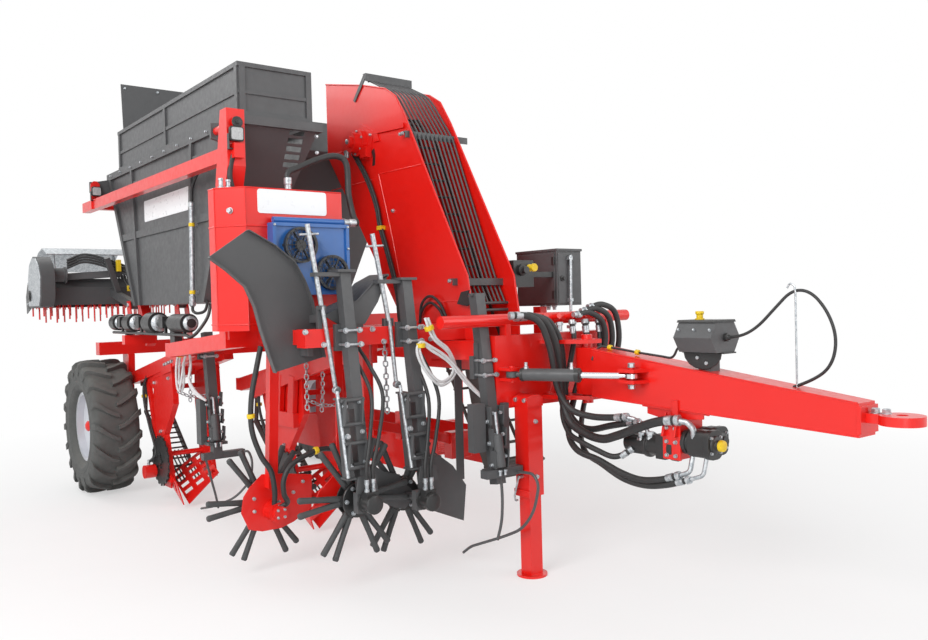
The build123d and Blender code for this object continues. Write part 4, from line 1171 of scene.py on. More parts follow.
@dataclass
class TankAndCooler:
    """Blank plate, weld bands, breathers, hose and fan guards of the oil tank and cooler."""

    front: float = 3600.0
    top: float = 2440.0

    def build(self) -> None:
        """Makes every fitting."""
        top = self.top
        outline = rounded_plate(476, 150, middle=(328, 2360))
        Form().plate(Across.X, outline, self.front, self.front + 4).piece(
            "blank_tank_plate", Finishes.WHITE, bevel=0.5)
        seam = Form()
        for z in (2205, 1600):
            seam.bent([(3340, -121, z), (3440, -121, z), (3601, 9, z), (3601, 160, z)], 5, 4, 8)
        seam.bent([(3342, -119, top), (3439, -119, top), (3599, 11, top), (3599, 678, top)],
                  5, 4, 8)
        for x, y in ((3440, -121), (3601, 10)):
            seam.bent([(x, y, 1562), (x, y, 2438)], 4, 4, 8)
        seam.piece("tank_welds", Finishes.RED)
        zinc = Form()
        for x, y, tall in ((3448, -78, 66), (3462, -36, 58)):
            zinc.turned((x, y, top), UP, [(0, 20), (14, 20), (16, 13), (tall - 14, 13),
                                          (tall - 12, 17), (tall, 15)], 14)
        zinc.bolt((3522, -55, 2300), (0.63, -0.777, 0), 30)
        for place, along in (((3500, 349, top), UP), ((3640, 664, 2243), LEFT)):
            zinc.turned(place, along, [(0, 27), (12, 27), (14, 22), (46, 22), (50, 26),
                                       (90, 26), (94, 21)], 16)
        zinc.piece("tank_fittings", Finishes.ZINC)
        Form().hose(
            [(3500, 349, 2480), (3500, 349, 2560), (3500, 420, 2600), (3500, 560, 2664),
             (3502, 700, 2700), (3520, 772, 2650), (3540, 772, 2440), (3590, 772, 2300),
             (3640, 765, 2243), (3640, 710, 2243)], 21,
        ).hose(
            [(3400, 20, top), (3390, 6, 2540), (3396, 24, 2650), (3420, 60, 2735)], 17,
        ).piece("tank_hoses", Finishes.RUBBER)
        self.guards()

    def guards(self) -> None:
        """Adds the wire guards in front of the fans and the frame's bolts."""
        form = Form()
        wire = 2.2
        for y, z in ((328, 2085), (545, 1914)):
            middle = (3716, y, z)
            for radius in (46, 70, 94):
                line = around(middle, radius, 18)
                form.bent([*line, line[0]], wire, 2, 6)
            for ends in zip(around(middle, 34, 16), around(middle, 108, 16)):
                form.rod(*ends, wire, 6)
        form.piece("fan_guards", Finishes.CAST)
        rows = [(3680, y, z) for y in (161, 674) for z in (1790, 1930, 2070, 2210)]
        Form().bolts(rows, AHEAD, 12).piece("cooler_bolts", Finishes.ZINC)


@dataclass
class Elevator:
    """Folds, welds, hoses and head drive fittings on the elevator's right hand panel."""

    face: float = 1371.0
    far_face: float = 1785.0
    # Line on the panel: x and z of its ends
    folds: tuple[Point, ...] = (
        (2975, 2700, 3545, 2692), (3360, 1700, 4060, 1716), (2200, 2958, 2560, 2952),
        (2230, 2664, 2900, 2668), (2975, 2700, 3130, 2240), (3130, 2240, 3330, 1560),
        (3190, 1680, 3390, 1420),
    )
    # The panel's front edge: x and z
    edge: tuple[Point, ...] = (
        (4084, 1262), (4084, 1640), (4042, 1881), (3358, 3065), (3232, 3247), (3095, 3327),
        (2773, 3420), (2191, 3553),
    )

    def build(self) -> None:
        """Makes every fitting."""
        form = Form()
        for x0, z0, x1, z1 in self.folds:
            form.bent([(x0, self.face, z0), (x1, self.face, z1)], 4, 3, 6)
        for y in (self.face - 1, self.far_face):
            form.bent([(x, y, z) for x, z in self.edge], 6, 40, 8)
        form.piece("elevator_folds", Finishes.RED)
        self.hoses()
        self.fittings()

    def hoses(self) -> None:
        """Adds the two hoses from the head motor down the panel."""
        form = Form()
        line = [(2640, 2900), (2700, 2830), (2805, 2705), (2900, 2560), (2965, 2420), (3000, 2288),
                (3105, 2054), (3206, 1801), (3231, 1628), (3250, 1500)]
        for shift, y in ((0, 1348), (30, 1344)):
            form.hose([(x + shift, y, z + shift * 0.4) for x, z in line], 12)
        for rise in (0, 46):
            form.hose([(3500, 1352, 1560), (3540, 1344, 1650 + rise), (3650, 1340, 1705 + rise),
                       (3760, 1344, 1650 + rise), (3800 + rise, 1352, 1560)], 10)
        form.piece("elevator_hoses", Finishes.RUBBER)
        Form().block((2988, 1328, 2268), (3052, 1370, 2300)).piece(
            "elevator_clip", Finishes.YELLOW, bevel=3)

    def fittings(self) -> None:
        """Adds the head drive's bolts and unions, the bar end bolts, and a black plate painted as
        the shade inside the chain's slot.
        """
        x, z = 2744, 2972
        form = Form().bolts(around((x, 1318, z), 88, 6, 20, (0, 2)), RIGHT, 14)
        corners = ((-150, 80), (90, -120), (150, 40), (-120, -70))
        form.bolts([(x + dx, 1359, z + dz) for dx, dz in corners], RIGHT, 18)
        for dx, y, lean in ((130, 1300, -0.2), (100, 1296, -0.1)):
            form.turned((x - dx, y, z - 44), (lean, 0, -1),
                        [(0, 17), (20, 17), (22, 14), (60, 14)], 12)
        # Ends of the cross bars and the panel's bright nuts
        ends = ((3376, 1333, 2936), (3900, 1333, 1848), (3165, 1371, 2400), (3350, 1333, 2935))
        form.bolts(ends, RIGHT, 22)
        form.turned((x, 1236, z), RIGHT, [(0, 20), (6, 20), (8, 14)], 16)
        form.piece("head_drive_fittings", Finishes.ZINC)
        # Painted shade: a thin black plate laid on the panel's face stands for the shade inside the
        # chain's slot
        slot = [(2890, 2775), (2925, 2775), (2935, 2850), (2922, 2905), (2885, 2890), (2900, 2840)]
        Form().plate(Across.Y, slot, 1368, 1372).piece("chain_slot_painted_shade", Finishes.CAST)


@dataclass
class Topper:
    """Clamp, links, spindle and motor of one front topper leg."""

    number: int
    y: float
    rotor: tuple[float, float, float]
    spindle: tuple[Point, Point]
    bar_x: float = 4062.0
    bar_z: float = 1510.0

    def lean(self, z: float) -> float:
        """X of the leg's middle at a height."""
        return leaning(self.bar_x, self.bar_z, z)

    def build(self) -> None:
        """Makes the bright fittings, the dark links and the motor with its hoses."""
        form = Form()
        y = self.y
        for z in (1552, 1468):
            form.u_bolt((self.lean(z), y, z), 4000, 48, 52, 26)
        for z in (1110, 935, 760):
            x = self.lean(z)
            form.bolt((x + 36, y - 96, z), AHEAD, 26)
            form.bolt((x + 35, y + 4, z + 20), AHEAD, 22)
            form.bolt((x, y + 35, z), LEFT, 22)
        form.rod(*self.spindle, 11)
        form.piece(f"topper_bolts_{self.number}", Finishes.ZINC)
        self.links()
        self.motor()

    def links(self) -> None:
        """Adds the slanted link plates and the slide's end plates."""
        form = Form()
        y = self.y
        for z in (1150, 900):
            low, high = self.lean(z - 150), self.lean(z)
            for side in (-2, -118):
                form.beam((low + 44, y + side, z - 150), (high + 50, y + side + 18, z), (10, 46))
            form.rod((high + 48, y - 122, z - 6), (high + 48, y + 34, z - 6), 12)
            form.rod((low + 46, y - 122, z - 146), (low + 46, y + 20, z - 146), 12)
        for z in (1150, 690):
            x = self.lean(z)
            form.block((x - 40, y - 126, z - 6), (x + 44, y - 66, z + 6))
        x = self.lean(640)
        form.plate(Across.X, [(y - 60, 700), (y + 60, 700), (y + 74, 600), (y - 74, 600)],
                   x + 36, x + 44)
        form.piece(f"topper_links_{self.number}", Finishes.GREY, bevel=1.5)

    def motor(self) -> None:
        """Adds the hydraulic motor behind the foot with its hoses and unions."""
        _, y, z = self.rotor
        x = self.lean(z)
        form = Form()
        form.turned((x + 8, y, z), AHEAD, [(0, 62), (12, 62), (14, 48), (70, 48), (74, 56),
                                           (104, 56), (112, 44)])
        form.block((x + 30, y - 40, z + 30), (x + 90, y + 40, z + 72))
        form.piece(f"topper_motor_{self.number}", Finishes.CAST, bevel=2)
        unions, hose = Form(), Form()
        for side, reach in ((-22, 96), (22, 132)):
            unions.turned((x + 60, y + side, z + 70), UP,
                          [(0, 16), (16, 16), (18, 12), (46, 12), (48, 15), (74, 15)], 12)
            hose.hose([(x + 60, y + side, z + 130), (x + 62, y + side, z + 220),
                       (x + 30, y + side + reach * 0.5, z + 380),
                       (x - 20, y + side + reach, z + 620),
                       (self.lean(1300) - 10, y + side + reach * 0.8, 1330),
                       (4000, y + side + reach * 0.6, 1440)], 12)
        unions.piece(f"topper_unions_{self.number}", Finishes.ZINC)
        hose.piece(f"topper_hoses_{self.number}", Finishes.RUBBER)


@dataclass
class FlailRotor:
    """Hub with its plates and the moulded rubber fingers."""

    number: int
    body: Body
    hub: tuple[float, float, float]
    reach: float = 380.0
    stations: int = 6

    def build(self) -> None:
        """Makes the fingers, the hub and its bolts."""
        x, y, z = self.hub
        rubber, bolts, hub = Form(), Form(), Form()
        length = self.reach - 86
        # Two fingers stand 7 degrees to either side of each station
        for offset in (-7, 7):
            for foot in around(self.hub, 84, self.stations, offset):
                rubber.turned(foot, foot - Vector(self.hub),
                              [(0, 16), (18, 20), (60, 20), (150, 18), (length - 30, 19),
                               (length - 10, 20), (length, 15)], 12)
        rubber.piece(f"rubber_fingers_{self.number}", Finishes.FLAIL, self.body, 0,
                     (f"flail_rotor_{self.number}",))
        for side in (-1, 1):
            hub.turned((x + side * 30, y, z), (side, 0, 0), [(0, 106), (10, 106), (14, 103)], 36)
            face = (x + side * 46, y, z)
            bolts.bolts(around(face, 84, self.stations), (side, 0, 0), 20)
        hub.turned((x - 30, y, z), AHEAD, [(0, 60), (60, 60)], 24)
        for ends in zip(*(around(self.hub, r, self.stations) for r in (50, 112))):
            hub.beam(*ends, (58, 52), AHEAD)
        hub.piece(f"flail_hub_{self.number}", Finishes.CAST, self.body, 2)
        bolts.piece(f"flail_hub_bolts_{self.number}", Finishes.ZINC, self.body)


@dataclass
class Digger:
    """Welds, bolts, chains, scraper and hoses of one digging unit."""

    number: int
    tip: tuple[float, float]

    def build(self) -> None:
        """Makes the fittings of the unit."""
        x, y = self.tip
        zinc = Form()
        # Bolts on the arch beam and the arm: x and z from the tip
        beam = [(x + dx, y - 70, 1092 + 0.19 * (dx + 1100) - 44) for dx in (-110, -50, 10, 70)]
        zinc.bolts(beam, RIGHT)
        for dx, z in ((-430, 1060), (-60, 1120), (-300, 640), (-260, 260), (-360, 260)):
            zinc.bolt((x + dx, y - 60, z), RIGHT)
            zinc.bolt((x + dx, y + 360, z), LEFT)
        zinc.chain([(x + 22, y - 20, 1010), (x + 40, y + 70, 962), (x + 44, y + 180, 950),
                    (x + 34, y + 310, 990)], 34, 4.5)
        zinc.chain([(x + 120, y + 60, 1245), (x + 96, y + 70, 1080), (x + 60, y + 76, 930)],
                   34, 4.5)
        zinc.piece(f"digger_bolts_and_chains_{self.number}", Finishes.ZINC)
        self.welds()
        self.drive()
        self.cleaning()

    def welds(self) -> None:
        """Adds the weld beads and the doubler plates of the arch."""
        x, y = self.tip
        red = Form()
        for face in (y - 61, y + 361):
            red.bent([(x - 470, face, 1096), (x + 10, face, 1186)], 5, 4, 6)
            red.bent([(x - 410, face, 600), (x - 236, face, 618)], 4, 4, 6)
        red.plate(Across.Y, [(x - 200, 1140), (x + 60, 1188), (x + 50, 1250), (x - 200, 1204)],
                  y - 78, y - 70)
        red.beam((x - 440, y - 12, 1010), (x - 440, y + 312, 1010), (40, 40), AHEAD)
        red.piece(f"digger_welds_{self.number}", Finishes.RED)

    def drive(self) -> None:
        """Adds the disc motor's unions, its hoses and their clips."""
        x, y = self.tip
        zinc, hose = Form(), Form()
        for step, lift in enumerate((345, 281)):
            side, dy = y - 150 + step * 34, y - 62 - step * 14
            zinc.turned((x - 395, side, lift), UP,
                        [(0, 14), (14, 14), (16, 10), (44, 10)], 10)
            hose.hose([(x - 395, side, 360), (x - 405, dy - 6, 460), (x - 560, dy, 640),
                       (x - 720 + step * 30, dy, 840), (x - 740 + step * 34, dy, 1000),
                       (x - 640, y - 62, 1110)], 11)
        zinc.piece(f"disc_unions_{self.number}", Finishes.ZINC)
        hose.piece(f"digger_hoses_{self.number}", Finishes.RUBBER)
        Form().clip((x - 733, y - 66, 920), (-0.1, 0, 1), 16).piece(
            f"digger_clips_{self.number}", Finishes.YELLOW)

    def cleaning(self) -> None:
        """Adds the disc's teeth and bolts and the bent lifting bars behind the shares."""
        x, y = self.tip
        form = Form()
        middle = (x - 290, y - 76, 385)
        for ends in zip(*(around(middle, r, 20, flat=(0, 2)) for r in (185, 222))):
            form.beam(*ends, (12, 30), LEFT, (10, 22))
        form.bolts(around((x - 290, y - 82, 385), 60, 5, flat=(0, 2)), RIGHT, 20)
        form.piece(f"disc_teeth_{self.number}", Finishes.CAST, bevel=1)
        bars = Form()
        for step in range(7):
            side = y + 50 + step * 34
            bars.bent([(x - 250, side, 190), (x - 380, side, 262), (x - 520, side, 348),
                       (x - 600, side, 410)], 7, 60, 8)
        bars.rod((x - 430, y + 20, 292), (x - 430, y + 300, 292), 12)
        bars.piece(f"lifting_bars_{self.number}", Finishes.STEEL)


@dataclass
class SideFlail:
    """Motor fittings and the hose of the flail at the right hand edge."""

    hoses: tuple[tuple[Point, ...], ...] = (
        ((3640, 564, 770), (3640, 463, 783), (3642, 348, 759), (3645, 236, 705),
         (3650, 185, 624), (3640, 190, 535), (3600, 230, 470), (3570, 190, 440)),
        ((3540, 110, 1460), (3540, 69, 1290), (3540, 36, 1130), (3540, 34, 944),
         (3560, 80, 780), (3580, 133, 680), (3590, 150, 560), (3560, 160, 460)),
        ((3640, 564, 770), (3620, 640, 740), (3560, 700, 800), (3500, 716, 900)),
    )

    def build(self) -> None:
        """Makes the fittings and the hose."""
        zinc, hose = Form(), Form()
        zinc.bolts(around((3615, 180, 410), 32, 4, 45), AHEAD, 14)
        zinc.bolts(((3480, 60, 420), (3480, 60, 500), (3480, 330, 500), (3480, 400, 560)),
                   AHEAD, 18)
        for line in self.hoses:
            hose.hose(line, 17)
        zinc.turned((3560, 186, 450), (0.3, 0.2, -1), [(-30, 24), (0, 24), (2, 18), (30, 18)], 6)
        zinc.piece("side_flail_bolts", Finishes.ZINC)
        hose.piece("side_flail_hoses", Finishes.RUBBER)
        Form().clip((3642, 420, 779), (0, 1, 0.1), 18).clip(
            (3540, 30, 1030), (0, -0.1, 1), 18).piece("side_flail_clip", Finishes.YELLOW)


@dataclass
class Drawbar:
    """Seams, bolts, pumps and the bracket of the control housing on the drawbar."""

    # Pump: y of its axis, x of its end
    pumps: tuple[Point, ...] = ((1700, 5760), (1840, 5700))
    pump_z: float = 900.0

    def build(self) -> None:
        """Makes the red plates, the pumps, the bright parts and the thin cable."""
        red = Form()
        red.skin((
            [(5284, 1660, 1289), (5726, 1676, 1100), (5725, 1676, 1058), (5284, 1660, 1078)],
            [(5284, 1648, 1289), (5726, 1666, 1100), (5725, 1666, 1058), (5284, 1648, 1078)],
        ))
        red.plate(Across.Y, [(5304, 1130), (5304, 1037), (5440, 1013), (5687, 1036), (5687, 1110)],
                  1668, 1680)
        for z0, z1 in ((1396, 1188), (1112, 1032)):
            red.bent([(4905, 1641, z0 - 4), (6535, 1676, z1 + 2)], 5, 4, 8)
        red.block((6530, 1668, 1046), (6552, 1832, 1176))
        red.piece("drawbar_plates", Finishes.RED, Body.DRAWBAR, 1.5)
        zinc = Form()
        zinc.bolts([(x, 1750, 1142) for x in (6580, 6630)], UP, 34)
        zinc.bolt((5260, 1590, 1305), UP, 36).bolt((5260, 1590, 1205), DOWN, 36)
        zinc.bolts(((5642, 1699, 1368), (5700, 1699, 1340)), RIGHT, 20)
        zinc.bolt((6190, 1750, 1146), UP, 20)
        zinc.bent([(6190, 1750, 1700), (6186, 1750, 1740), (6160, 1750, 1756), (6146, 1750, 1730)],
                  5, 12, 8)
        zinc.piece("drawbar_bolts", Finishes.ZINC, Body.DRAWBAR)
        self.pump_set()
        self.mount()
        self.control()
        self.cable()

    def pump_set(self) -> None:
        """Adds the two gear pumps and the motor side."""
        dark = Form()
        z = self.pump_z
        for y, end in self.pumps:
            dark.turned((5540, y, z), AHEAD, [(0, 60), (14, 60), (16, 70), (40, 70), (44, 58),
                                              (60, 58)], 28)
            dark.plate(Across.X, rounded_plate(118, 150, 40, (y, z)), 5596, end - 50)
            dark.plate(Across.X, rounded_plate(132, 160, 46, (y, z)), end - 52, end - 20)
            dark.turned((end - 20, y, z), AHEAD, [(0, 52), (10, 46), (16, 30), (30, 28)], 24)
        dark.turned((5130, 1700, 855), AHEAD, [(0, 46), (10, 58), (20, 62), (150, 62),
                                               (156, 74), (176, 74), (182, 62), (330, 62),
                                               (336, 74), (370, 74)], 28)
        dark.block((5190, 1650, 800), (5300, 1750, 910))
        dark.block((5380, 1640, 790), (5450, 1760, 930))
        dark.piece("pump_bodies", Finishes.CAST, Body.DRAWBAR, 2.5, ("pump_unit",))

    def mount(self) -> None:
        """Adds the pumps' red mount, the plug and the unions."""
        form = Form().block((5500, 1640, 800), (5540, 1860, 1130))
        form.block((5440, 1632, 800), (5560, 1644, 1010))
        for x in (5452, 5534):
            foot = [(x, 1600, 930), (x + 14, 1600, 930), (x + 14, 1644, 930), (x, 1644, 930)]
            head = [(x, 1632, 1060), (x + 14, 1632, 1060), (x + 14, 1644, 1060), (x, 1644, 1060)]
            form.skin((foot, head))
        form.piece("pump_mount", Finishes.RED, Body.DRAWBAR, 2)
        Form().turned((5770, 1700, 900), AHEAD, [(0, 30), (8, 32), (22, 30), (28, 20)], 24).piece(
            "pump_plug", Finishes.YELLOW, Body.DRAWBAR)
        zinc = Form().bolts([(x, 1632, z) for x in (5470, 5530) for z in (824, 900, 976)],
                            RIGHT, 18)
        for y, end in self.pumps:
            for turn in (math.radians(t) for t in (40, 140, 220, 320)):
                zinc.bolt((end - 20, y + 52 * math.cos(turn), self.pump_z + 64 * math.sin(turn)),
                          AHEAD, 14)
        for place in ((5262, 1664, 880), (5316, 1672, 890), (5630, 1672, 880)):
            zinc.turned(place, UP, [(0, 28), (14, 28), (16, 22), (44, 22)], 6)
        zinc.piece("pump_unions", Finishes.ZINC, Body.DRAWBAR)

    def control(self) -> None:
        """Adds the half round bracket, the lid and the switches of the control housing."""
        outline = []
        for step in range(9):
            turn = math.radians(180 + step * 22.5)
            outline.append((5672 + 124 * math.cos(turn), 1400 + 96 * math.sin(turn)))
        dark = Form().plate(Across.Y, outline, 1690, 1698)
        dark.block((5540, 1690, 1392), (5812, 1800, 1400))
        dark.plate(Across.X, [(1632, 1560), (1808, 1560), (1800, 1574), (1640, 1574)], 5552, 5808)
        dark.turned((5548, 1720, 1486), BACK, [(0, 22), (16, 22), (18, 15), (40, 15), (44, 20),
                                               (56, 18)], 16)
        dark.turned((5800, 1720, 1480), AHEAD, [(-2, 22), (18, 22), (22, 15), (34, 13)], 14)
        dark.piece("control_bracket", Finishes.CAST, Body.DRAWBAR, 2)
        Form().turned(
            (5640, 1720, 1574), UP, [(0, 26), (6, 26), (8, 18), (26, 18), (34, 24), (46, 22)], 16,
        ).piece("control_switch", Finishes.YELLOW, Body.DRAWBAR)
        screws = [(x, 1614, 1520) for x in (5580, 5680, 5780)]
        Form().bolts(screws, (0, -0.848, 0.53), 12).piece(
            "control_screws", Finishes.ZINC, Body.DRAWBAR)

    def cable(self) -> None:
        """Adds the thin cable clipped along the drawbar's top."""
        Form().bent(
            [(5560, 1712, 1440), (5500, 1706, 1420), (5460, 1712, 1355), (5380, 1716, 1364),
             (5200, 1716, 1381), (5000, 1712, 1405), (4920, 1700, 1412), (4912, 1660, 1380),
             (4910, 1636, 1330)], 7, 60, 8,
        ).piece("drawbar_cable", Finishes.RUBBER, Body.DRAWBAR)
        clips = Form()
        for place in ((5200, 1716, 1382), (4990, 1712, 1405)):
            clips.clip(place, (-1, 0, 0.1), 9)
        clips.piece("drawbar_clips", Finishes.YELLOW, Body.DRAWBAR)


@dataclass
class HoseBundle:
    """Hoses that sag from the frame's ports to the pumps on the swinging drawbar."""

    # Hose: radius, its line from the frame's ports to the drawbar
    hoses: tuple[tuple[float, tuple[Point, ...]], ...] = (
        (26, ((4614, 1290, 1606), (4630, 1400, 1604), (4650, 1500, 1560), (4668, 1560, 1440),
              (4681, 1590, 1280), (4672, 1600, 1119), (4740, 1600, 955), (4861, 1600, 888),
              (5005, 1600, 865), (5132, 1600, 898), (5361, 1600, 986), (5480, 1604, 1018),
              (5560, 1618, 1026))),
        (20, ((4640, 1226, 1612), (4670, 1320, 1610), (4700, 1410, 1560), (4712, 1470, 1420),
              (4716, 1500, 1290), (4712, 1520, 1190), (4745, 1540, 1092), (4815, 1560, 1021),
              (4949, 1590, 994), (5100, 1610, 1000), (5189, 1620, 1010))),
        (20, ((4600, 1350, 1604), (4610, 1450, 1604), (4630, 1560, 1560), (4650, 1630, 1420),
              (4640, 1664, 1180), (4660, 1668, 1010), (4740, 1672, 920), (4860, 1670, 900),
              (5031, 1650, 940), (5193, 1640, 975), (5262, 1636, 984))),
        (20, ((4600, 1900, 1560), (4616, 1900, 1450), (4620, 1860, 1300), (4630, 1760, 1080),
              (4690, 1640, 880), (4820, 1580, 780), (4990, 1590, 738), (5150, 1600, 685),
              (5294, 1606, 662), (5430, 1620, 680), (5540, 1640, 716))),
        (17, ((4604, 2020, 1560), (4620, 2020, 1440), (4640, 1960, 1260), (4660, 1820, 1040),
              (4740, 1700, 850), (4860, 1620, 760), (5000, 1600, 715), (5160, 1606, 650),
              (5320, 1612, 632), (5470, 1624, 656), (5600, 1650, 700))),
        (17, ((4600, 1780, 1560), (4616, 1780, 1440), (4610, 1720, 1200), (4640, 1640, 1000),
              (4740, 1590, 880), (4860, 1570, 838), (4980, 1580, 800), (5090, 1600, 770),
              (5160, 1630, 790), (5196, 1650, 820))),
    )
    # Bright elbow that leads into the pumps: radius, its line
    elbows: tuple[tuple[float, tuple[Point, ...]], ...] = (
        (17, ((5550, 1617, 1026), (5610, 1636, 1016), (5636, 1650, 980), (5630, 1662, 900))),
        (13, ((5182, 1620, 1009), (5250, 1640, 1000), (5262, 1656, 900))),
        (13, ((5256, 1636, 984), (5300, 1650, 980), (5316, 1664, 910))),
        (14, ((5530, 1638, 712), (5600, 1660, 740), (5606, 1680, 830))),
        (12, ((5590, 1648, 697), (5680, 1670, 730), (5690, 1690, 830))),
    )

    def build(self) -> None:
        """Makes the hoses, which hang from the frame to the drawbar and ride on neither."""
        ports, unions = Form(), Form()
        for number, (radius, line) in enumerate(self.hoses, 1):
            hose = Form().hose(line, radius).piece(
                f"drawbar_hose_{number}", Finishes.RUBBER, None)
            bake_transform(hose)
            for form, place, after in ((ports, line[0], line[1]), (unions, line[-1], line[-2])):
                start = Vector(place)
                out = (start - Vector(after)).normalized()
                form.turned(start - out * 78, out,
                            [(0, radius + 2), (44, radius + 4), (46, radius - 3), (60, radius - 3),
                             (62, radius + 5), (88, radius + 5), (90, radius - 5)], 14)
        ports.piece("hose_ports", Finishes.ZINC)
        for radius, line in self.elbows:
            unions.bent(line, radius, 40, 12)
        unions.piece("pump_elbows", Finishes.ZINC, Body.DRAWBAR)
        self.over_pipe()

    def over_pipe(self) -> None:
        """Adds the hoses that leave the pipe's left end and go down behind the drawbar."""
        form, zinc = Form(), Form()
        for step in range(3):
            lift, y = step * 24, 1800 + step * 66
            form.hose([(4640, y, 1606 + lift), (4650, y + 90, 1616 + lift),
                       (4656, y + 200, 1560 + lift), (4650, y + 240, 1440), (4620, y + 220, 1300),
                       (4560, y + 150, 1220)], 19)
            zinc.turned((4636, y - 40, 1604 + lift), LEFT,
                        [(0, 17), (30, 17), (32, 24), (60, 24), (62, 19), (70, 19)], 12)
        form.piece("left_pipe_hoses", Finishes.RUBBER)
        zinc.piece("left_pipe_unions", Finishes.ZINC)


@dataclass
class StandAndSteering:
    """Top cap, hook pin, bolts and collars of the stand and the steering cylinder."""

    def build(self) -> None:
        """Makes the fittings."""
        cap = [(1325, 1052), (1445, 1052), (1445, 1112), (1412, 1124), (1358, 1124), (1325, 1112)]
        Form().plate(Across.X, cap, 4536, 4664).block((4530, 1315, 496), (4670, 1325, 540)).piece(
            "stand_cap", Finishes.RED, bevel=2)
        zinc = Form().bolts([(x, 1325, 1092) for x in (4560, 4640)], RIGHT)
        zinc.bolts([(4660, 1385, z) for z in (620, 960)], AHEAD, 22)
        zinc.rod((4600, 1290, 620), (4600, 1480, 620), 11)
        zinc.bent([(4600, 1292, 620), (4584, 1288, 560), (4564, 1288, 500), (4572, 1288, 470),
                   (4592, 1288, 480)], 6, 14, 8)
        zinc.piece("stand_pin", Finishes.ZINC)
        line = Vector((660, 330, 0)).normalized()
        base = Vector((4600, 1260, 1255))
        Form().turned(
            base + line * 404, line, [(0, 43), (26, 43), (28, 38), (36, 30)], 28,
        ).turned(base + line * 62, line, [(0, 41), (16, 41), (18, 38.5)], 28).piece(
            "cylinder_collars", Finishes.CAST, Body.STEER_BARREL)
        unions = Form()
        for reach in (92, 380):
            unions.turned(base + line * reach + Vector((0, 0, 34)), UP,
                          [(0, 16), (14, 16), (16, 11), (40, 11)], 6)
        unions.piece("cylinder_unions", Finishes.ZINC, Body.STEER_BARREL)


@dataclass
class RearTopper:
    """Motor, hose bundle and flails of the folded rear topper."""

    shaft: tuple[float, float, float] = (-990, 400, 1880)
    # Side of the belt housing: x and z of its corners
    case: tuple[Point, ...] = (
        (-1080, 1762), (-590, 1762), (-520, 1860), (-500, 2060), (-560, 2180), (-690, 2262),
        (-870, 2272), (-1010, 2200), (-1080, 2060),
    )

    def build(self) -> None:
        """Makes the curtain, the drives, the flails and the hoses."""
        self.curtain()
        self.end_drive()
        self.long_hoses()
        self.flails()
        x, _, z = self.shaft
        dark = Form().turned((x, -312, z), RIGHT, [(0, 74), (10, 74), (12, 56), (26.1, 56),
                                                   (28, 40), (34, 40)], 24)
        dark.block((-1184, -316, 1756), (-1150, 1116, 1790))
        dark.piece("topper_drive", Finishes.CAST, Body.REAR_TOPPER, 1.5)
        corners = ((-1130, 1800), (-850, 1800), (-1090, 2010), (-880, 2010))
        zinc = Form().bolts([(bx, -312, bz) for bx, bz in corners], RIGHT, 20)
        zinc.bolts([(-110, y - 36, 1760) for y in (430, 900)], RIGHT, 40)
        zinc.piece("topper_cover_bolts", Finishes.ZINC, Body.REAR_TOPPER)
        bundle = Form()
        for number in range(4):
            y = 520 + number * 26
            bundle.hose([(-300, y, 1850), (-480, y, 1920 + number * 10), (-700, y, 2010),
                         (-830, y, 2120), (-930, y, 2160), (-985, y, 2080), (-985, y, 2048)], 11)
        bundle.piece("topper_hose_bundle", Finishes.RUBBER, Body.REAR_TOPPER)
        Form().block((-560, 500, 1908), (-528, 616, 1966)).piece(
            "topper_hose_clip", Finishes.YELLOW, Body.REAR_TOPPER, 4)

    def curtain(self) -> None:
        """Adds the fixed tines that hang from the housing's lower edges."""
        form = Form()
        for step in range(23):
            y = -270 + step * 60
            low = 1766 - 96 - 34 * ((step * 7) % 3)
            for x, shift in ((-1172, 0), (-812, 30)):
                form.rod((x, y + shift, 1766), (x, y + shift, low), 8, 8)
        form.piece("topper_tine_curtain", Finishes.RED, Body.REAR_TOPPER)

    def flails(self) -> None:
        """Adds the pairs of flails along the shaft."""
        x, _, z = self.shaft
        form = Form()
        for step in range(22):
            turn = math.radians((step * 97) % 60 - 30)
            out = Vector((math.sin(turn), 0, -math.cos(turn)))
            for side in (-9, 9):
                start = Vector((x, -250 + step * 60 + side, z)) + out * 38
                form.beam(start, start + out * 108, (7, 34), LEFT, (7, 40))
        form.piece("topper_flails", Finishes.RED, Body.TOPPER_SHAFT, 1)

    def end_drive(self) -> None:
        """Adds the belt housing at the right hand end, its pale cover and the curved guards."""
        dark = Form().plate(Across.Y, self.case, -318, -190)
        dark.turned((-700, -190, 2080), LEFT, [(0, 96), (20, 96), (24, 70), (120, 70),
                                               (124, 84), (140, 84), (150, 50)], 28)
        dark.beam((-880, -150, 2060), (-760, 500, 2100), (90, 70), AHEAD)
        dark.beam((-620, 430, 1900), (-520, 300, 2250), (60, 50), AHEAD)
        guard = [(-1330, 1700), (-1090, 1762), (-1090, 2060), (-1250, 2010), (-1350, 1880)]
        dark.plate(Across.Y, guard, -300, -290)
        dark.piece("topper_belt_housing", Finishes.GREY, Body.REAR_TOPPER, 4)
        cover = [(-820 + (x + 820) * 0.94, 1990 + (z - 1990) * 0.94) for x, z in self.case]
        Form().plate(Across.Y, cover, -328, -318).piece(
            "topper_belt_cover", Finishes.ZINC, Body.REAR_TOPPER, 3)

    def long_hoses(self) -> None:
        """Adds the hoses that run along the housing to the arms, with their clip."""
        form = Form()
        for lift in (0, 26, 52, 78):
            form.hose([(-690, -40, 2150 + lift), (-650, 120, 2210 + lift),
                       (-600, 320, 2160 + lift), (-520, 500, 2080 + lift),
                       (-360, 640, 1990 + lift), (-300, 660, 1900)], 12)
        form.piece("topper_long_hoses", Finishes.RUBBER, Body.REAR_TOPPER)
        Form().block((-560, 396, 2110), (-500, 436, 2230)).piece(
            "topper_long_clip", Finishes.YELLOW, Body.REAR_TOPPER, 4)


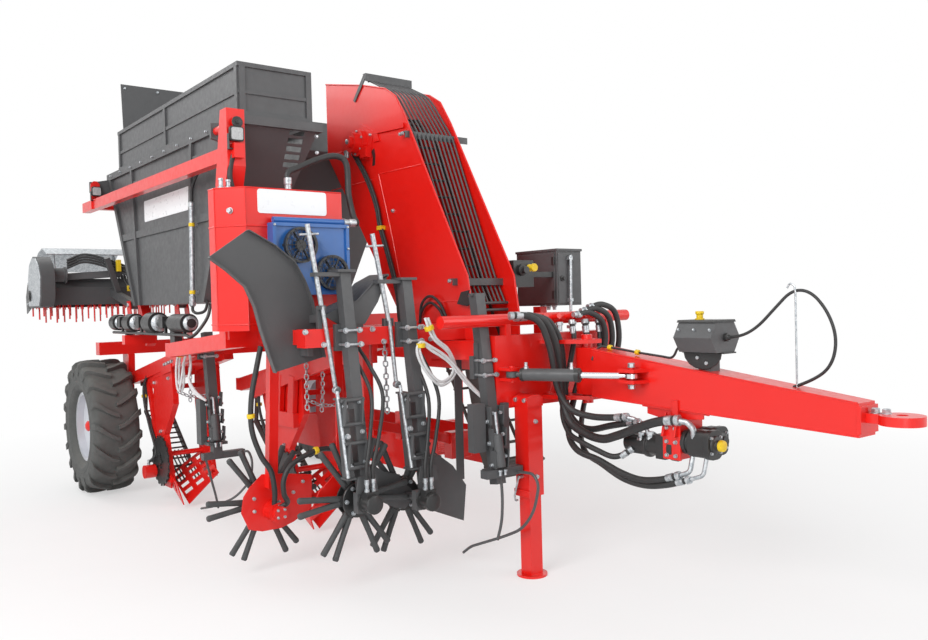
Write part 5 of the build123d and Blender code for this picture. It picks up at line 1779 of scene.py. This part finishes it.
@dataclass
class LeafChute:
    """Wide bent trough that throws the leaves to the right, and the small chute beside it."""

    # Station down the trough: X, then Y and Z of its right hand and its left hand edge
    stations: tuple[Point, ...] = (
        (3885, -350, 1985, -110, 2150), (3868, -240, 1912, 60, 2066), (3850, -128, 1823, 194, 1968),
        (3826, -64, 1706, 268, 1860), (3806, -22, 1570, 326, 1740), (3796, 26, 1430, 370, 1560),
        (3790, 70, 1308, 409, 1384),
    )
    thick: float = 8.0
    lip: float = 42.0
    # Small chute: Y and Z of its curved floor and of its end wall
    floor: tuple[Point, ...] = (
        (312, 1600), (312, 1644), (544, 1730), (668, 1843), (780, 1895), (788, 1882),
        (678, 1830), (552, 1718), (330, 1632), (330, 1600),
    )
    wall: tuple[Point, ...] = (
        (330, 1636), (548, 1722), (672, 1835), (780, 1893), (700, 1720), (600, 1583), (420, 1583),
    )

    def build(self) -> None:
        """Makes the trough, its rims, its stays and the small chute."""
        form = Form()
        for strip in range(3):
            rings = []
            for x, near_y, near_z, far_y, far_z in self.stations:
                near, far = Vector((x, near_y, near_z)), Vector((x, far_y, far_z))
                edge = (far - near).normalized() * self.thick
                out = Vector((self.lip if strip else self.thick, 0, 0))
                start, end = ((near, far), (near, near + edge), (far - edge, far))[strip]
                rings.append((start, end, end + out, start + out))
            form.skin(rings)
        form.block((3600, 60, 1640), (3796, 110, 1760))
        form.block((3796, 250, 1400), (3896, 290, 1450))
        form.plate(Across.X, self.floor, 3760, 3988)
        form.plate(Across.X, self.wall, 3980, 3988)
        form.block((3960, 540, 1560), (3984, 590, 1600))
        form.piece("bent_leaf_chute", Finishes.GREY, bevel=2, replaces=("leaf_chute",))


@dataclass
class DriveRow:
    """Bright flanges, brackets and the thin rail of the row under the bunker."""

    def build(self) -> None:
        """Makes the fittings."""
        zinc, dark = Form(), Form()
        y, z = 110, 1600
        # Flange: x, radius
        for x, radius in ((584, 56), (1034, 60), (1624, 66), (2314, 52), (400, 40)):
            zinc.turned((x, y, z), AHEAD, [(0, radius), (4, radius + 3), (14, radius + 3),
                                           (18, radius), (30, radius * 0.6)], 24)
            zinc.bolts(around((x + 18, y, z), radius * 0.72, 4, 45), AHEAD, 12)
        for x in (620, 1160, 1760, 2180):
            dark.block((x, 60, 1560), (x + 90, 160, 1652))
            dark.block((x + 30, 90, 1500), (x + 60, 110, 1560))
        dark.rod((420, 86, 1512), (2300, 86, 1512), 12)
        dark.hose([(2300, 86, 1512), (2380, 90, 1500), (2420, 130, 1540), (2430, 200, 1640),
                   (2425, 230, 1740)], 12)
        zinc.piece("drive_row_flanges", Finishes.ZINC)
        dark.piece("drive_row_brackets", Finishes.CAST, bevel=2)


@dataclass
class LegFittings:
    """Clamp, link plates, bolts and small cylinder on the finder leg or the rear leg."""

    name: str
    x: float
    y: float
    bar_z: float
    low: float

    def lean(self, z: float) -> float:
        """X of the leg's middle at a height."""
        return leaning(self.x, self.bar_z, z)

    def build(self) -> None:
        """Makes the bright and the dark fittings."""
        zinc, dark = Form(), Form()
        y = self.y
        for z in (self.bar_z + 44, self.bar_z - 44):
            x = self.lean(z)
            zinc.u_bolt((x, y, z), x - 70, 46, 46, 24)
        x = self.lean(self.bar_z)
        dark.block((x - 74, y - 62, self.bar_z - 70), (x - 36, y + 62, self.bar_z + 70))
        for step in range(3):
            z = self.low + step * 130
            x = self.lean(z)
            for side in (-1, 1):
                dark.beam((x + 40, y + side * 46, z), (x + 44, y + side * 52, z + 110), (12, 44))
                zinc.bolt((x + 30, y + side * 54, z + 20), (0, side, 0), 20)
                zinc.bolt((x + 50, y + side * 30, z + 70), AHEAD, 18)
        x = self.lean(self.low)
        dark.block((x - 46, y - 76, self.low - 30), (x + 52, y + 76, self.low - 8))
        along = (-0.14, 0, 1)
        dark.turned((x + 70, y - 20, self.low + 10), along,
                    [(0, 26), (10, 30), (190, 30), (200, 22)], 18)
        zinc.turned((x + 44, y - 20, self.low + 208), along, [(0, 10), (130, 10)], 12)
        for side in (-24, 16):
            zinc.turned((x + 66, y + side, self.low - 8), DOWN,
                        [(0, 13), (12, 13), (14, 9), (34, 9)], 6)
        zinc.piece(f"{self.name}_bolts", Finishes.ZINC)
        dark.piece(f"{self.name}_links", Finishes.GREY, bevel=1.5)


@dataclass
class Cabinet:
    """Lid edge, catch and glands of the switch cabinet."""

    def build(self) -> None:
        """Makes the lid and its fittings."""
        lid = Form().block((3552, 2232, 2062), (4010, 2498, 2080))
        lid.plate(Across.Y, [(3576, 1676), (3984, 1676), (3984, 2050), (3576, 2050)], 2232, 2240)
        lid.plate(Across.X, [(2252, 1676), (2478, 1676), (2478, 2050), (2252, 2050)], 4000, 4006)
        lid.piece("cabinet_lid", Finishes.GREY, bevel=3)
        dark = Form()
        for z in (1740, 1990):
            dark.block((3960, 2222, z - 30), (3986, 2234, z + 30))
        dark.turned((4006, 2290, 1860), AHEAD, [(0, 22), (8, 22), (10, 12), (24, 12)], 14)
        dark.turned((4006, 2380, 1980), AHEAD, [(0, 20), (10, 20), (14, 14), (18, 14)], 14)
        dark.block((3900, 1820, 1800), (4000, 2010, 1990))
        dark.turned((4000, 1890, 1920), AHEAD, [(0, 40), (24, 40), (30, 26), (60, 26)])
        dark.beam((3950, 2010, 1890), (3950, 2240, 1890), (40, 40), AHEAD)
        Form().turned(
            (4000, 1968, 1936), AHEAD,
            [(0, 26), (8, 26), (10, 18), (36, 18), (44, 30), (60, 28)], 18,
        ).piece("cabinet_tap", Finishes.YELLOW)
        glands = Form().rod((4026, 2360, 2032), (4026, 2346, 1440), 11)
        for z in (2010, 1700, 1500):
            glands.block((3990, 2338, z - 12), (4034, 2372, z + 12))
        for y in (2300, 2360, 2420):
            glands.turned((3780, y, 1660), DOWN, [(0, 20), (12, 20), (14, 15), (34, 13)], 6)
        dark.piece("cabinet_catches", Finishes.CAST, bevel=1)
        glands.piece("cabinet_glands", Finishes.ZINC)


@dataclass
class Chassis:
    """Clipped hydraulic lines, chains, bolts and port unions of the frame."""

    def build(self) -> None:
        """Makes the unions, the hoses and the chains."""
        zinc = Form()
        for y in (1560, 1680, 1800, 1920, 2040):
            zinc.turned((4590, y, 1560), DOWN, [(0, 24), (20, 24), (22, 18), (60, 18)], 6)
        heads = ((180, 1550), (300, 1470), (640, 1550), (720, 1470), (1020, 1550), (1080, 1470))
        zinc.bolts([(4005, y, z) for y, z in heads], AHEAD, 26)
        zinc.chain([(3980, 742, 1450), (3960, 760, 1300), (3960, 762, 1010)], 36, 5)
        # Spindle: y and z of its top, y of its foot
        for y, z, foot in ((290, 1700, 365), (758, 1600, 796)):
            zinc.rod((4020, y, z), (4020, foot, 1200), 13)
            zinc.rod((4012, foot, 1200), (4044, foot, 1194), 24)
        zinc.piece("frame_bolts_and_chains", Finishes.ZINC)
        self.pale_hoses()
        self.cross_bar()
        self.arch_plate()

    def pale_hoses(self) -> None:
        """Adds the looped textile hoses at the front and at the rear leg with their clips."""
        pale = Form()
        for shift in (0, 22):
            pale.hose([(4180, 919 + shift, 1610), (4180, 976 + shift, 1483),
                       (4180, 1100, 1375 + shift), (4180, 1126 + shift, 1258),
                       (4180, 1029, 1202 - shift), (4180, 931 - shift, 1285),
                       (4180, 874 - shift, 1400), (4184, 880, 1462),
                       (4190, 950, 1409 + shift), (4200, 1080, 1325 + shift),
                       (4230, 1204, 1175 + shift), (4300, 1300, 1060)], 9)
            pale.hose([(1900, 190, 1423), (1800, 180 + shift, 1290), (1780, 180 + shift, 1130),
                       (1830, 180 + shift, 1060), (1890, 180 + shift, 1144), (1930, 190, 1289),
                       (2040, 190, 1400 - shift), (2080, 190, 1273), (2060, 180, 1170 - shift),
                       (2160, 190, 1080 - shift), (2240, 240, 1010)], 9)
        pale.piece("pale_hoses", Finishes.CLOTH)
        bands = Form().clip((4180, 948, 1546), (0, 0.4, -1), 24)
        bands.clip((4184, 880, 1440), UP, 22).clip((1850, 190, 1350), (0.5, 0, 1), 24)
        bands.piece("pale_hose_clips", Finishes.YELLOW)

    def arch_plate(self) -> None:
        """Adds the deep side plate of the front digger's arch beam with its row of bolts."""
        outline = [(1990, 1110), (2520, 1262), (3500, 1438), (3894, 1500), (3894, 1330),
                   (3440, 1300), (2770, 1150), (1990, 960)]
        form = Form().plate(Across.Y, outline, 706, 742)
        for x in (2480, 2700):
            form.beam((x, 722, 900), (x + 40, 722, 1190), (40, 90))
        form.block((2440, 700, 800), (2760, 760, 910))
        form.piece("front_arch_plate", Finishes.RED, bevel=3)
        row = [(3560 + step * 66, 706, 1352 + step * 6) for step in range(4)]
        zinc = Form().bolts(row, RIGHT, 26)
        zinc.chain([(3000, 700, 1330), (3010, 690, 1150), (3010, 690, 960)], 38, 5)
        zinc.piece("arch_plate_bolts", Finishes.ZINC)

    def cross_bar(self) -> None:
        """Adds the lower cross bar behind the legs with its end box on the stand."""
        form = Form()
        form.beam((3865, 611, 960), (3865, 1100, 840), (60, 60), AHEAD)
        form.beam((3865, 1100, 840), (3865, 1394, 740), (60, 60), AHEAD)
        form.block((3825, 1300, 640), (3915, 1470, 820))
        form.beam((3865, 660, 950), (3865, 660, 1460), (50, 50), AHEAD)
        form.block((3835, 900, 820), (3895, 960, 1000))
        form.piece("lower_cross_bar", Finishes.RED, bevel=3)
        claw = [(3965, 1691), (4013, 1771), (4100, 1782), (4077, 1743), (4160, 1702), (4074, 1676)]
        Form().plate(Across.Y, claw, 1335, 1345).piece("web_guide", Finishes.CAST, bevel=1)


def main() -> None:
    """Builds the stage and every part of the machine in order."""
    logging.basicConfig(level=logging.INFO, format="%(name)s: %(message)s")
    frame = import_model()
    for part in (
        Camera(),
        Studio(),
        ControlCable(),
        Wheel("right", 60, -1, Body.WHEEL_RIGHT),
        Wheel("left", 2440, 1, Body.WHEEL_LEFT),
        Bunker(),
        TankAndCooler(),
        Elevator(),
        *(Topper(number, *row) for number, row in enumerate(TOPPERS, 1)),
        *(FlailRotor(number, *row) for number, row in enumerate(ROTORS, 1)),
        *(Digger(number, tip) for number, tip in enumerate(DIGGERS, 1)),
        SideFlail(),
        Drawbar(),
        HoseBundle(),
        StandAndSteering(),
        RearTopper(),
        LeafChute(),
        DriveRow(),
        LegFittings("finder_leg", 4480.0, 1145.0, 1300.0, 700.0),
        LegFittings("rear_leg", 2080.0, 330.0, 1380.0, 690.0),
        Cabinet(),
        Chassis(),
    ):
        part.build()
        LOG.info("built %s", type(part).__name__)
    for finish, names in DRESSED:
        for name in names:
            dress(frame["nodes"][name], finish)


if __name__ == "__main__":
    main()
